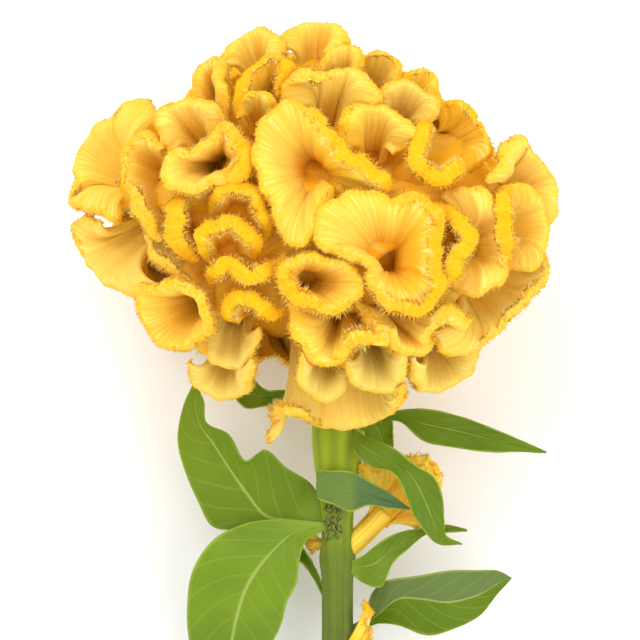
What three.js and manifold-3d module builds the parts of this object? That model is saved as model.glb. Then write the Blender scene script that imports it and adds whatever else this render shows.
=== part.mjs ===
// Cockscomb celosia: one yellow crested flower head on a short cut stem with its leaves and side crests.
// Units are millimetres and +Z is up. The stem lies down: its head rests on a flat spot of the back folds,
// and its cut end touches the same surface.
// The flower is drawn in a growth frame first: x to the right, y along the stem toward the head's crown,
// and z out of the head's front. Its origin is the middle of the head. The whole group is then turned
// and lifted so that the flower lies on z = 0, with the origin in the middle of the flat spot.

import * as THREE from 'three';
import { mergeVertices } from 'three/addons/utils/BufferGeometryUtils.js';
import Module from 'manifold-3d';

// Driving sizes
const HEAD_HALF_WIDTH = 70;
const HEAD_HALF_HEIGHT = 56;
const HEAD_FRONT_DEPTH = 48;
const HEAD_BACK_DEPTH = 49;
const CORE_SHARE = 0.62;
const HEAD_LIFT = 46.5;
const LIE_ANGLE = THREE.MathUtils.degToRad(10);

const HEAD_SHEET = { width: 6, thickness: 2.4 };
const SECTION_SPACING = 6.6;
const BACK_SECTION_SPACING = 10;
const FRONT_SHEET_LEVELS = [0, 0.45];
const BACK_SHEET_LEVELS = [0];
const THROAT_RADIUS = 3;
const FOLD_RISE = 2.4;
const FOLD_FLARE = 1.5;
const FACE_TURN = 0.9;
const BEND_ROOM = 0.8;
const END_DIP = 7;
const END_RUN = 8;
const END_WIDTH_SHARE = 0.55;
const LIGHT_SIDE_SHARE = 0.55;
const RIM_WAVE = 0.45;
const RIM_WAVE_LENGTH = 9;
const EDGE_TOOTH = 0.35;

const REST_THROAT_HALF_WIDTH = 10;
const REST_THROAT_DEPTH = 15;
const BACK_FOLDS = 12;
const BACK_REACH = 0.154;
const BACK_LOOP_ANGLE = 0.38;
const BACK_INSET_X = 17;
const BACK_INSET_Y = 13;
const BACK_SHIFT_X = -2;
const BACK_THROAT_SHARE = 0.5;
const BACK_LOOP_POINTS = 12;
const BACK_SWELLS = [0.2, 0.16];

const NECK_TOP_RADIUS = 19;
const NECK_FOOT_RADIUS = 9;
const NECK_TOP_Y = -22;
const NECK_FOOT_Y = -48;
const NECK_FLATNESS = 0.8;

const STEM_X = 5.2;
const STEM_Z = -3;
const STEM_CUT_Y = -225;
const STEM_TOP_Y = -36;
const STEM_RADIUS = 4.15;
const STEM_TOP_HALF_WIDTH = 6.9;
const STEM_TOP_HALF_DEPTH = 5;
const STEM_RIBS = 9;
const RIB_DEPTH = 0.35;
const STEM_LEAN = 5;
const STEM_LEAN_START_Y = -110;
const STEM_WIDEN_START_Y = -84;
const STEM_WIDEN_RUN = 24;
const STEM_NODES = [-93, -122, -158, -196];
const STEM_NODE_RUN = 3.5;
const STEM_NODE_SWELL = { width: 0.7, depth: 0.6 };
const STEM_FOOT_SWELL = 0.3;
const STEM_FOOT_START_Y = -190;
const CUT_SLANT = 1.5;
const CUT_SLANT_START_Y = -206;
const CLEARANCE = 0.3;
const HAIR = 0.006;

const LEAF_THICKNESS = 0.7;
const LEAF_ROWS = 12;
const LEAF_COLUMNS = [-1, -0.5, 0, 0.5, 1];
const LEAF_WAVE = 0.8;
const LEAF_WAVE_TURNS = 3;
const LEAF_SAG = 1;

const SIDE_SHEET = { width: 3.6, thickness: 1.6 };
const SIDE_RISE = 1.5;
const SIDE_RIM_WAVE = 0.7;
const SIDE_SHEET_LEVELS = [0, 0.5];
const SIDE_CREST_SPACING = 4.6;

const HEAD_SEED = 11;
const HEAD_SEED_STEP = 7;
const BACK_SEED = 41;
const LEAF_SEED = 5;
const SIDE_CREST_SEED = 301;

const BAND_COLOUR = 0xf7b80c;
const LEAF_COLOUR = 0x6f9a1c;
const BLUE_LEAF_COLOUR = 0x6f9158;
const STEM_COLOUR = 0x7d9140;

const wasm = await Module();
wasm.setup();

// Seeded draws, the same on every run
function seededRandom(seed) {
  let state = seed;
  return () => {
    state = (state * 16807) % 2147483647;
    return state / 2147483647;
  };
}

function toSolid(geometry) {
  const bare = geometry.clone();
  bare.deleteAttribute('normal');
  bare.deleteAttribute('uv');
  const merged = mergeVertices(bare, 1e-5);
  return new wasm.Manifold(new wasm.Mesh({
    numProp: 3,
    vertProperties: new Float32Array(merged.attributes.position.array),
    triVerts: new Uint32Array(merged.index.array),
  }));
}

function toGeometry(solid) {
  const mesh = solid.getMesh();
  const geometry = new THREE.BufferGeometry();
  geometry.setAttribute('position', new THREE.BufferAttribute(mesh.vertProperties, 3));
  geometry.setIndex(new THREE.BufferAttribute(mesh.triVerts, 1));
  geometry.computeVertexNormals();
  return geometry;
}

// Draws the skin in by a hair, so that two sheets that meet in one line are parted there
function parted(geometry) {
  const place = geometry.attributes.position;
  const normal = geometry.attributes.normal;
  for (let i = 0; i < place.count; i += 1) {
    place.setXYZ(
      i,
      place.getX(i) - HAIR * normal.getX(i),
      place.getY(i) - HAIR * normal.getY(i),
      place.getZ(i) - HAIR * normal.getZ(i),
    );
  }
  return geometry;
}

// Joins many solids in pairs, so that each join stays small
function joinAll(solids) {
  let layer = solids;
  while (layer.length > 1) {
    const next = [];
    for (let i = 0; i < layer.length; i += 2) {
      next.push(i + 1 < layer.length ? layer[i].add(layer[i + 1]) : layer[i]);
    }
    layer = next;
  }
  return layer[0];
}

// The largest closed body of a solid, with any sealed pocket inside it filled
function outerBody(solid) {
  const bodies = solid.decompose();
  return bodies.reduce((best, body) => (body.volume() > best.volume() ? body : best));
}

function point(values) {
  return new THREE.Vector3(...values);
}

function smoothStep(share) {
  const s = THREE.MathUtils.clamp(share, 0, 1);
  return s * s * (3 - 2 * s);
}

// The head's rounded outline: its front height over a place, and its outward direction at a point
function frontHeight(x, y) {
  const level = Math.hypot(x / HEAD_HALF_WIDTH, y / HEAD_HALF_HEIGHT);
  return HEAD_FRONT_DEPTH * Math.sqrt(Math.max(0, 1 - level ** 2.4));
}

function outward(place) {
  const depth = place.z > 0 ? HEAD_FRONT_DEPTH : HEAD_BACK_DEPTH;
  return new THREE.Vector3(
    place.x / HEAD_HALF_WIDTH ** 2,
    place.y / HEAD_HALF_HEIGHT ** 2,
    place.z / depth ** 2,
  ).normalize();
}

// A throat is drawn inside the head's core, so that every fold is rooted in it
function rootedThroat(place) {
  const level = Math.hypot(
    place.x / HEAD_HALF_WIDTH,
    place.y / HEAD_HALF_HEIGHT,
    place.z / (place.z > 0 ? HEAD_FRONT_DEPTH : HEAD_BACK_DEPTH),
  ) / CORE_SHARE;
  return place.clone().multiplyScalar(Math.min(1, 0.9 / level));
}

// The folds of the head's front, each traced by hand. A fold is a sheet that rises from its throat, given
// as one place or a short line of places, and opens to its rim. The rim's height follows the head's
// outline, plus the lift. A closed rim makes a funnel, and an open one a fan. Where a fold has a heavy
// side, its band is widest on that side and narrow on the other.
const FRONT_FOLDS = {
  upper_disc: {
    throat: [[0, 11.5, 20]], lift: 3, width: 5, rise: 1.8, heavy: [1, 0.2],
    rim: [[4.5, 7.5], [3, 4], [1.5, 0], [-1, -5], [-4.5, -8], [-8.5, -7], [-10, -3], [-11.5, 1],
      [-14.5, 7.5], [-16.5, 15.5], [-14.5, 23.5], [-8.5, 28.5], [-2, 26.5], [3, 20.5], [8, 15],
      [13.5, 11.5], [18, 7.5], [19, 1]],
  },
  trumpet: {
    throat: [[18, -14, 20]], lift: 4, closed: true, width: 5.2, rise: 1.8, heavy: [1, -0.1],
    rim: [[14.5, -19.5], [14, -15], [9, -11.5], [2.5, -9.5], [-0.5, -5.5], [1, 0.5], [7, 4], [14, 5],
      [19, 2.5], [23.5, 4], [28, 3], [31.5, 0], [32, -4.5], [31, -9.5], [31.5, -15.5], [32, -20],
      [29.5, -24.5], [24.5, -26], [19, -24]],
  },
  middle_ruffle: {
    throat: [[14, 14.5, 22]], lift: 0, width: 4.6, rise: 4, heavy: [-1, -0.3],
    rim: [[5.5, 17], [5.5, 22], [7.5, 26.5], [12, 28.5], [17.5, 27.5], [22.5, 25], [25.5, 21.5],
      [24.5, 18.5], [21, 17.5]],
  },
  pale_fan: {
    throat: [[22.5, 23.5, 20]], lift: 1, width: 4, rise: 4,
    rim: [[16, 28.5], [16.5, 32.5], [20, 34.5], [25, 34], [29, 31.5], [32, 28], [29.5, 24]],
  },
  hook: {
    throat: [[23, 9, 22]], lift: 0, width: 4.8, rise: 1.6,
    rim: [[32, 28], [28.5, 23], [26, 17.5], [27, 12], [31, 9], [35.5, 10.5], [39.5, 13], [41.5, 16.5]],
  },
  right_back_sheet: {
    throat: [[31, 17.5, 6]], lift: -8, width: 3.4, rise: 3,
    rim: [[32.5, 34], [37, 31], [40.5, 28], [41.5, 25], [44, 23], [45.5, 18.5], [45, 14.5], [42, 11.5]],
  },
  shoulder_knob: {
    throat: [[25, 29, 14]], lift: -2, width: 4, rise: 4,
    rim: [[21, 38], [25, 39], [29.5, 37.5], [32.5, 34.5], [33, 31]],
  },
  crown_fan: {
    throat: [[2, 25.5, 24]], lift: 1, width: 5, rise: 4,
    rim: [[-8.5, 31], [-9, 35], [-5, 36.5], [2, 36.5], [8.5, 38], [13.5, 35], [16, 30.5], [15.5, 25.5]],
  },
  top_middle_lobe: {
    throat: [[-1.5, 32, 12]], lift: -2, dip: 3, width: 5, rise: 4,
    rim: [[-12.5, 46], [-9, 48.5], [-5, 50], [-1, 51], [3.5, 50.5], [7, 49], [6.5, 45.5], [3.5, 43]],
  },
  top_right_fan: {
    throat: [[7.5, 31, 18]], lift: 0, width: 5, rise: 4,
    rim: [[0, 37], [1, 40.5], [4.5, 43.5], [9, 44.5], [11.5, 42], [12, 38.5]],
  },
  right_shoulder: {
    throat: [[14.5, 30, 12]], lift: -3, width: 5, rise: 4,
    rim: [[9, 44.5], [14, 44], [18.5, 42], [22, 39], [23, 35]],
  },
  top_left_fan: {
    throat: [[-13.5, 31.5, 12]], lift: -3, dip: 2, width: 5, rise: 4,
    rim: [[-27.5, 38], [-26, 41.5], [-23.5, 44.5], [-20, 47.5], [-15.5, 49.5], [-12.5, 48.5], [-10, 45],
      [-11.5, 42]],
  },
  left_arc: {
    throat: [[-13.5, 29, 20]], lift: 0, width: 5.6, rise: 4,
    rim: [[-23, 28.5], [-21.5, 33], [-18, 37.5], [-15, 40.5], [-11.5, 41.5], [-7.5, 40], [-9.5, 36],
      [-9, 32.5]],
  },
  inner_arc: {
    throat: [[-17, 25, 22]], lift: 0, width: 4.4, rise: 4,
    rim: [[-23, 28], [-21, 31], [-17.5, 32], [-14, 31], [-11.5, 28], [-13.5, 25]],
  },
  left_shoulder: {
    throat: [[-28.5, 28, 12]], lift: -2, width: 5, rise: 4,
    rim: [[-35, 31], [-34, 35], [-31, 39], [-27.5, 41.5], [-26, 37.5], [-26, 32.5], [-26.5, 27.5]],
  },
  left_small_fan: {
    throat: [[-32, 18, 17]], lift: 0, width: 4.2, rise: 4,
    rim: [[-41.5, 17.5], [-43, 23], [-41, 27.5], [-35.5, 29.5], [-30, 29.5], [-26.5, 26.5], [-25.5, 23]],
  },
  left_cup: {
    throat: [[-26, 14, 18]], lift: 1, closed: true, width: 5.4, rise: 1.5, heavy: [1, 0],
    rim: [[-25.5, 22.5], [-22, 20], [-19, 16.5], [-18.5, 13], [-20, 10.5], [-25, 9], [-29.5, 7.5],
      [-34.5, 6], [-39.5, 7.5], [-41, 11.5], [-38.5, 15], [-33, 16], [-28.5, 18.5]],
  },
  middle_left_arch: {
    throat: [[-22, -1, 22]], lift: 0, width: 4.8,
    rim: [[-30.5, -0.5], [-28.5, 4], [-25, 6.5], [-20, 7], [-16, 4.5], [-14, 0], [-13.5, -5], [-15, -8.5]],
  },
  left_band: {
    throat: [[-31, -3, 15]], lift: 0, width: 6,
    rim: [[-38.5, 8], [-38, 1], [-38, -5], [-37, -10.5], [-34, -14.5]],
  },
  arch_band: {
    throat: [[-24, -11.5, 18]], lift: 1, width: 5,
    rim: [[-30, -15], [-31.5, -10.5], [-31, -6], [-28, -3.5], [-24, -2.5], [-19.5, -4], [-17, -7],
      [-16.5, -10.5], [-18, -14]],
  },
  wave_band: {
    throat: [[-26, -17.5, 17], [-17, -14, 20], [-9.5, -16.5, 21]], lift: 1, width: 4.6,
    rim: [[-31, -21], [-29.5, -17.5], [-27, -15], [-24, -14], [-21, -15.5], [-17.5, -17], [-14, -16],
      [-10.5, -14], [-9, -11.5]],
  },
  middle_loop: {
    throat: [[-4.5, -17.5, 21]], lift: 2, closed: true, width: 4.8, rise: 1.3, heavy: [-0.7, -0.7],
    rim: [[-9, -18], [-8, -14], [-4.5, -12], [1, -12.5], [6.5, -14], [11, -17.5], [10.5, -21], [6.5, -25],
      [1, -25], [-4, -23], [-7.5, -21]],
  },
  low_left_cup: {
    throat: [[-35.5, -28, 10]], lift: 1, closed: true, width: 5, rise: 1.4, heavy: [0.9, 0.4],
    rim: [[-48, -21], [-43, -20], [-37.5, -19], [-33, -20.5], [-30.5, -24.5], [-29, -28.5], [-30, -32],
      [-34, -34.5], [-38.5, -36], [-43.5, -33.5], [-46.5, -28]],
  },
  low_arch: {
    throat: [[-18.5, -29, 14]], lift: -1, width: 4.8,
    rim: [[-23, -33], [-25, -28.5], [-24, -24.5], [-21, -22.5], [-17.5, -22.5], [-14.5, -25.5],
      [-11.5, -28.5], [-8, -28.5]],
  },
  low_left_fan: {
    throat: [[-25, -30, 10]], lift: -1, width: 3.6, rise: 3,
    rim: [[-34, -35], [-29.5, -38.5], [-24, -41], [-19.5, -40.5], [-17.5, -37.5], [-17, -34]],
  },
  low_middle_fold: {
    throat: [[7.5, -29, 17]], lift: 2, width: 4.8,
    rim: [[-8.5, -26.5], [-6, -31.5], [-3.5, -35.5], [-1, -39], [4, -40], [6, -37.5], [8.5, -34.5],
      [12.5, -33], [16, -33.5], [19.5, -36], [22, -38.5]],
  },
  low_right_fold: {
    throat: [[18, -28, 16], [32.5, -30, 8]], lift: 0, width: 4.8,
    rim: [[10.5, -26.5], [13.5, -29.5], [18, -32], [21, -35.5], [24.5, -37.5], [28.5, -36.5], [29, -32.5],
      [31, -29], [35, -26.5], [38.5, -28], [40, -31], [39.5, -35.5]],
  },
  bottom_left_lobe: {
    throat: [[-24.5, -29, 3]], lift: 4, dip: 2, width: 3.4, rise: 3,
    rim: [[-35.5, -41], [-32.5, -46], [-27.5, -49], [-22.5, -49], [-19, -47], [-18, -44], [-18, -40]],
  },
  bottom_middle_lobe: {
    throat: [[2, -30, 8]], lift: 9, width: 3.4, rise: 3,
    rim: [[-5, -40.5], [-4.5, -44.5], [-2, -48], [2, -49.5], [6.5, -49], [9, -46]],
  },
  bottom_right_fan: {
    throat: [[13.5, -29.5, 10]], lift: 8, width: 3.8, rise: 3,
    rim: [[5.5, -42.5], [9.5, -45], [16.5, -47.5], [21.5, -45.5], [23.5, -42], [24.5, -39]],
  },
  skirt: {
    throat: [[-3, -30, 6], [4, -30, 8], [15.5, -30, 6]], lift: 10, dip: 0, width: 3.6,
    rim: [[-13.5, -61.5], [-12, -56], [-8.5, -52.5], [-4, -54], [1.5, -57], [8.5, -57.5], [14, -56],
      [19.5, -53], [22, -49], [22, -45.5]],
  },
  bottom_far_right_lobe: {
    throat: [[31.5, -28, 0]], lift: 3, dip: 2, width: 3.6, rise: 3,
    rim: [[25, -39.5], [25.5, -44.5], [28, -47], [31.5, -47.5], [35.5, -46], [39, -44], [42, -40.5],
      [43.5, -36.5]],
  },
  right_fan: {
    throat: [[40, -11, 6]], lift: -1, width: 4.2, rise: 3,
    rim: [[35, 5], [39.5, 6.5], [44.5, 5], [47.5, 2], [49, -3], [49.5, -9], [50, -14], [48, -18.5],
      [44, -20.5], [40.5, -22.5], [37, -22]],
  },
  far_right_top: {
    throat: [[38, -2, 2]], lift: -2, dip: 2, width: 3.4, rise: 3,
    rim: [[46, 8], [48.5, 12.5], [50, 18], [52.5, 20], [55.5, 19.5], [57, 16.5], [60, 13], [63, 9],
      [64, 4], [63, -2], [61.5, -6]],
  },
  far_right_fan: {
    throat: [[42, -4.5, 4]], lift: 0, width: 4.4, rise: 3,
    rim: [[51, 6], [55, 7.5], [58.5, 4.5], [60.5, 0], [61, -5], [60, -10.5], [57.5, -15], [53.5, -17.5]],
  },
  far_right_low: {
    throat: [[37.5, -12.5, 0]], lift: 0, dip: 4, width: 3.4,
    rim: [[62.5, -8.5], [62.5, -12.5], [61, -16.5], [58, -20.5], [54, -24.5], [50, -28.5], [47, -32],
      [43, -35.5], [38.5, -37.5], [34, -37], [31, -34]],
  },
  left_wing_top: {
    throat: [[-39.5, 1.5, 0]], lift: -8, dip: 1, width: 3.2, rise: 3,
    rim: [[-42.5, 26.5], [-45, 28.5], [-47.5, 30.5], [-51.5, 29.5], [-56, 25.5], [-59.5, 24],
      [-62.5, 19.5], [-65, 15.5], [-65.5, 12], [-64.5, 9.5], [-66, 7], [-66.5, 3.5],
      [-62.5, 1.8], [-58.5, 0.5], [-54, -1.5]],
  },
  left_wing_low: {
    throat: [[-39.5, 0.5, 0]], lift: -8, dip: 1, width: 3.2, rise: 3,
    rim: [[-59, -2], [-66, -3], [-65.5, -6], [-63.5, -10], [-61, -14], [-58, -17.5], [-54, -20],
      [-49, -21.5], [-45, -21.5], [-41, -20]],
  },
  left_web: {
    throat: [[-33, -6, 8]], lift: -7, dip: 3, width: 3.4, rise: 3,
    rim: [[-48, -6], [-45, -10], [-41.5, -13], [-38, -16.5], [-35, -19]],
  },
  left_ear: {
    throat: [[-38, 10, 8], [-37, -2, 8]], lift: -2, dip: 3, width: 4.6, rise: 3,
    rim: [[-42, 18.5], [-45.5, 21], [-49.5, 19.5], [-51.8, 15], [-51.5, 10], [-49.5, 5.5], [-47, 1],
      [-45, -4], [-43, -8]],
  },
  right_arm: {
    throat: [[41, -8, 8], [40, -14, 8]], lift: 1.5, width: 5.6,
    rim: [[33, 2.5], [35.5, 0.5], [38.5, -3], [40, -7], [37.5, -11.5], [35.5, -15], [35.5, -19],
      [37.5, -22.5]],
  },
  far_right_arm: {
    throat: [[46, -5, 6]], lift: 2, dip: 4, width: 5,
    rim: [[53, 7.5], [50.5, 5], [49, 0], [49.5, -5], [50.5, -10], [53.5, -13.5]],
  },
};

function frontFold(plan) {
  return {
    throat: plan.throat.map((place) => rootedThroat(point(place))),
    rim: plan.rim.map(([x, y]) => new THREE.Vector3(x, y, frontHeight(x, y) + plan.lift)),
    closed: plan.closed === true,
    dip: plan.dip ?? END_DIP,
    spacing: SECTION_SPACING,
    levels: FRONT_SHEET_LEVELS,
    rise: plan.rise ?? FOLD_RISE,
    wave: RIM_WAVE,
    heavy: plan.heavy,
    width: plan.width,
    thickness: HEAD_SHEET.thickness,
  };
}

// The fold that the head rests on: an open wave of band across the lowest place of the back
function restFold() {
  const spot = new THREE.Vector3(0, 0, 0).applyMatrix4(lying().invert());
  const line = [[-25, -8], [-16, 1], [-8, 3], [0, 0], [8, -3], [16, -2], [25, 6]];
  const rim = line.map(([x, y]) => {
    const level = Math.hypot(x / HEAD_HALF_WIDTH, (y + spot.y) / HEAD_HALF_HEIGHT);
    return new THREE.Vector3(x, y + spot.y, -HEAD_BACK_DEPTH * Math.sqrt(1 - level * level));
  });
  const throat = [-REST_THROAT_HALF_WIDTH, REST_THROAT_HALF_WIDTH].map((x) => (
    rootedThroat(new THREE.Vector3(x, spot.y, -REST_THROAT_DEPTH))
  ));
  return {
    throat,
    rim,
    closed: false,
    dip: END_DIP,
    spacing: SECTION_SPACING,
    levels: BACK_SHEET_LEVELS,
    rise: FOLD_RISE,
    wave: RIM_WAVE,
    ...HEAD_SHEET,
  };
}

// The folds of the sides and the back: closed loops of uneven outline, set on a spiral over the outline
function backFolds() {
  const random = seededRandom(BACK_SEED);
  const goldenAngle = Math.PI * (3 - Math.sqrt(5));
  const shift = new THREE.Vector3(BACK_SHIFT_X, 0, 0);
  const folds = [];
  for (let k = 0; k < BACK_FOLDS; k += 1) {
    const z = -1 + (k + 0.9) * (1 + BACK_REACH) / BACK_FOLDS;
    const turn = k * goldenAngle;
    const flat = Math.sqrt(1 - z * z);
    const middle = new THREE.Vector3(flat * Math.cos(turn), flat * Math.sin(turn), z);
    const across = new THREE.Vector3(0, 0, 1).cross(middle).normalize();
    const up = middle.clone().cross(across);
    const phases = [random() * 2 * Math.PI, random() * 2 * Math.PI];
    const depth = z > 0 ? HEAD_FRONT_DEPTH : HEAD_BACK_DEPTH;
    const shape = new THREE.Vector3(HEAD_HALF_WIDTH - BACK_INSET_X, HEAD_HALF_HEIGHT - BACK_INSET_Y, depth);
    const rim = Array.from({ length: BACK_LOOP_POINTS }, (_, j) => {
      const around = j * 2 * Math.PI / BACK_LOOP_POINTS;
      const swells = BACK_SWELLS.map((swell, m) => swell * Math.sin((m + 2) * around + phases[m]));
      const angle = BACK_LOOP_ANGLE * (1 + swells[0] + swells[1]);
      const side = across.clone().multiplyScalar(Math.cos(around)).addScaledVector(up, Math.sin(around));
      const unit = middle.clone().multiplyScalar(Math.cos(angle)).addScaledVector(side, Math.sin(angle));
      return unit.multiply(shape).add(shift);
    });
    const throat = [rootedThroat(middle.multiply(shape).multiplyScalar(BACK_THROAT_SHARE))];
    folds.push({
      throat,
      rim,
      closed: true,
      spacing: BACK_SECTION_SPACING,
      levels: BACK_SHEET_LEVELS,
      rise: FOLD_RISE,
      wave: RIM_WAVE,
      ...HEAD_SHEET,
    });
  }
  return folds;
}

// The place on a fold's throat line that lies nearest to a rim place
function nearestThroat(throat, place) {
  if (throat.length === 1) {
    return throat[0].clone();
  }
  let best = null;
  for (let i = 0; i + 1 < throat.length; i += 1) {
    const piece = new THREE.Line3(throat[i], throat[i + 1]);
    const nearest = piece.closestPointToPoint(place, true, new THREE.Vector3());
    if (best === null || nearest.distanceTo(place) < best.distanceTo(place)) {
      best = nearest;
    }
  }
  return best;
}

// How much of its full width a band has at a rim place
function bandShare(heavy, rim, throat) {
  if (heavy === undefined) {
    return 1;
  }
  const reach = new THREE.Vector2(rim.x - throat.x, rim.y - throat.y).normalize();
  const side = reach.dot(new THREE.Vector2(...heavy).normalize());
  return THREE.MathUtils.lerp(LIGHT_SIDE_SHARE, 1, smoothStep(0.5 + 0.5 * side));
}

// Evenly spaced stations along a fold's rim, each with its throat place and its local directions
function foldStations(fold, seed) {
  const curve = new THREE.CatmullRomCurve3(fold.rim, fold.closed, 'centripetal');
  const length = curve.getLength();
  const count = Math.max(4, Math.round(length / fold.spacing));
  const random = seededRandom(seed);
  const phase = random() * 2 * Math.PI;
  const waves = Math.max(1, Math.round(length / RIM_WAVE_LENGTH));
  const stations = [];
  for (let i = 0; i < count + (fold.closed ? 0 : 1); i += 1) {
    const share = i / count;
    const along = curve.getTangentAt(share);
    const rim = curve.getPointAt(share);
    const out = outward(rim);
    const side = out.clone().cross(along).normalize();
    const wave = fold.wave * Math.sin(share * waves * 2 * Math.PI + phase);
    rim.addScaledVector(side, wave);
    let fade = 1;
    if (!fold.closed) {
      const fromEnd = Math.min(share, 1 - share) * length;
      fade = smoothStep(fromEnd / END_RUN);
      rim.addScaledVector(out, -fold.dip * (1 - fade));
    }
    const throat = nearestThroat(fold.throat, rim);
    const width = fold.width * bandShare(fold.heavy, rim, throat);
    stations.push({ rim, along, out, fade, throat, width, tooth: i % 2 === 0 ? 1 : -1 });
  }
  const axis = new THREE.Vector3();
  stations.forEach((station) => axis.add(station.rim).sub(station.throat));
  axis.normalize();
  stations.forEach((station, i) => {
    const before = stations[(i + stations.length - 1) % stations.length];
    const after = stations[(i + 1) % stations.length];
    const gap = after.rim.distanceTo(before.rim) / 2;
    const atEnd = !fold.closed && (i === 0 || i === stations.length - 1);
    station.bend = atEnd ? new THREE.Vector3() : after.along.clone().sub(before.along).divideScalar(2 * gap);
    station.axis = axis;
    station.levels = fold.levels;
    station.thickness = fold.thickness;
    station.rise = fold.rise;
  });
  return stations;
}

// A place on the sheet: 0 is the throat and 1 the rim. It rises first and then flares like a trumpet.
function sheetPlace(station, share) {
  const reach = station.rim.clone().sub(station.throat);
  const rise = reach.dot(station.axis);
  const spread = reach.addScaledVector(station.axis, -rise);
  const throatShare = Math.min(0.5, THROAT_RADIUS / Math.max(spread.length(), THROAT_RADIUS));
  const flare = throatShare + (1 - throatShare) * share ** FOLD_FLARE;
  return station.throat.clone()
    .addScaledVector(station.axis, rise * (1 - (1 - share) ** station.rise))
    .addScaledVector(spread, flare);
}

// The section of a fold at a station, as pairs of inner and outer corners from the throat to the rim:
// a thin sheet that widens to the band along the rim. A band is narrower inside a sharp bend.
function foldSection(station) {
  const below = sheetPlace(station, 0.85);
  const face = station.rim.clone().sub(below).normalize().addScaledVector(station.out, FACE_TURN);
  face.addScaledVector(station.along, -face.dot(station.along)).normalize();
  const wide = station.along.clone().cross(face).normalize();
  const half = (station.width / 2 + EDGE_TOOTH * station.tooth)
    * THREE.MathUtils.lerp(END_WIDTH_SHARE, 1, station.fade);
  const bend = station.bend.dot(wide);
  const inner = Math.min(half, bend < 0 ? BEND_ROOM / -bend : half);
  const outer = Math.min(half, bend > 0 ? BEND_ROOM / bend : half);
  const sheet = station.levels.map((share) => {
    const place = sheetPlace(station, share);
    const next = sheetPlace(station, share + 0.05);
    const skin = station.along.clone().cross(next.sub(place)).normalize();
    return [-1, 1].map((sign) => place.clone().addScaledVector(skin, sign * station.thickness / 2));
  });
  const band = [-inner, outer].map((across) => station.rim.clone().addScaledVector(wide, across));
  return [...sheet.flat(), ...band];
}

// A closed cell between two sections. Both of its ends are split the same way as its neighbours' ends.
function foldCell(here, next) {
  const count = here.length;
  const index = [];
  const quad = (a, b, c, d) => index.push(a, b, c, b, d, c);
  for (let k = 0; k + 2 < count; k += 2) {
    quad(k, k + 1, k + 2, k + 3);
    index.push(count + k + 1, count + k, count + k + 2, count + k + 1, count + k + 2, count + k + 3);
    quad(k, k + 2, count + k, count + k + 2);
    quad(k + 3, k + 1, count + k + 3, count + k + 1);
  }
  quad(1, 0, count + 1, count);
  quad(count - 2, count - 1, 2 * count - 2, 2 * count - 1);
  const geometry = new THREE.BufferGeometry().setFromPoints([...here, ...next]);
  geometry.setIndex(index);
  return toSolid(geometry);
}

function foldCells(fold, seed) {
  const sections = foldStations(fold, seed).map(foldSection);
  const last = fold.closed ? sections.length : sections.length - 1;
  return Array.from({ length: last }, (_, i) => foldCell(sections[i], sections[(i + 1) % sections.length]));
}

function headCore() {
  const core = new THREE.SphereGeometry(1, 18, 12);
  core.scale(HEAD_HALF_WIDTH * CORE_SHARE, HEAD_HALF_HEIGHT * CORE_SHARE, HEAD_BACK_DEPTH * CORE_SHARE);
  return toSolid(core);
}

// The solid neck between the stem and the core
function headNeck() {
  const neck = new THREE.CylinderGeometry(NECK_TOP_RADIUS, NECK_FOOT_RADIUS, NECK_TOP_Y - NECK_FOOT_Y, 14);
  neck.scale(1, 1, NECK_FLATNESS);
  neck.translate(STEM_X, (NECK_TOP_Y + NECK_FOOT_Y) / 2, STEM_Z);
  return toSolid(neck);
}

// The narrow gaps between the outer lobes, open from front to back: middle, half width, half height, turn
const LOBE_GAPS = [
  { x: -12, y: -42.8, halfWidth: 2.7, halfHeight: 4, turn: 0 },
  { x: -42.7, y: -15, halfWidth: 0.9, halfHeight: 3.6, turn: 50 },
];

function lobeGap(plan) {
  const channel = new THREE.CylinderGeometry(1, 1, 200, 10);
  channel.rotateX(Math.PI / 2);
  channel.scale(plan.halfWidth, plan.halfHeight, 1);
  channel.rotateZ(THREE.MathUtils.degToRad(plan.turn));
  channel.translate(plan.x, plan.y, 0);
  return toSolid(channel);
}

// Everything above the surface that the flower lies on, as a block in the growth frame
function aboveSurface() {
  const block = new THREE.BoxGeometry(400, 800, 200);
  block.translate(0, 0, 100);
  block.applyMatrix4(lying().invert());
  return toSolid(block);
}

function lying() {
  const turn = new THREE.Matrix4().makeRotationX(LIE_ANGLE);
  return turn.premultiply(new THREE.Matrix4().makeTranslation(0, 0, HEAD_LIFT));
}

// The stem's half width, half depth and middle at a height
function stemShape(y) {
  const widen = smoothStep((y - STEM_WIDEN_START_Y) / STEM_WIDEN_RUN);
  const node = STEM_NODES.reduce((sum, middle) => sum + Math.exp(-(((y - middle) / STEM_NODE_RUN) ** 2)), 0);
  const foot = STEM_FOOT_SWELL * smoothStep((STEM_FOOT_START_Y - y) / (STEM_FOOT_START_Y - STEM_CUT_Y));
  const lean = smoothStep((STEM_LEAN_START_Y - y) / (STEM_LEAN_START_Y - STEM_CUT_Y));
  const { lerp } = THREE.MathUtils;
  return {
    halfWidth: lerp(STEM_RADIUS, STEM_TOP_HALF_WIDTH, widen) + STEM_NODE_SWELL.width * node + foot,
    halfDepth: lerp(STEM_RADIUS, STEM_TOP_HALF_DEPTH, widen) + STEM_NODE_SWELL.depth * node + foot,
    x: STEM_X - STEM_LEAN * lean,
    z: STEM_Z,
  };
}

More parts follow.
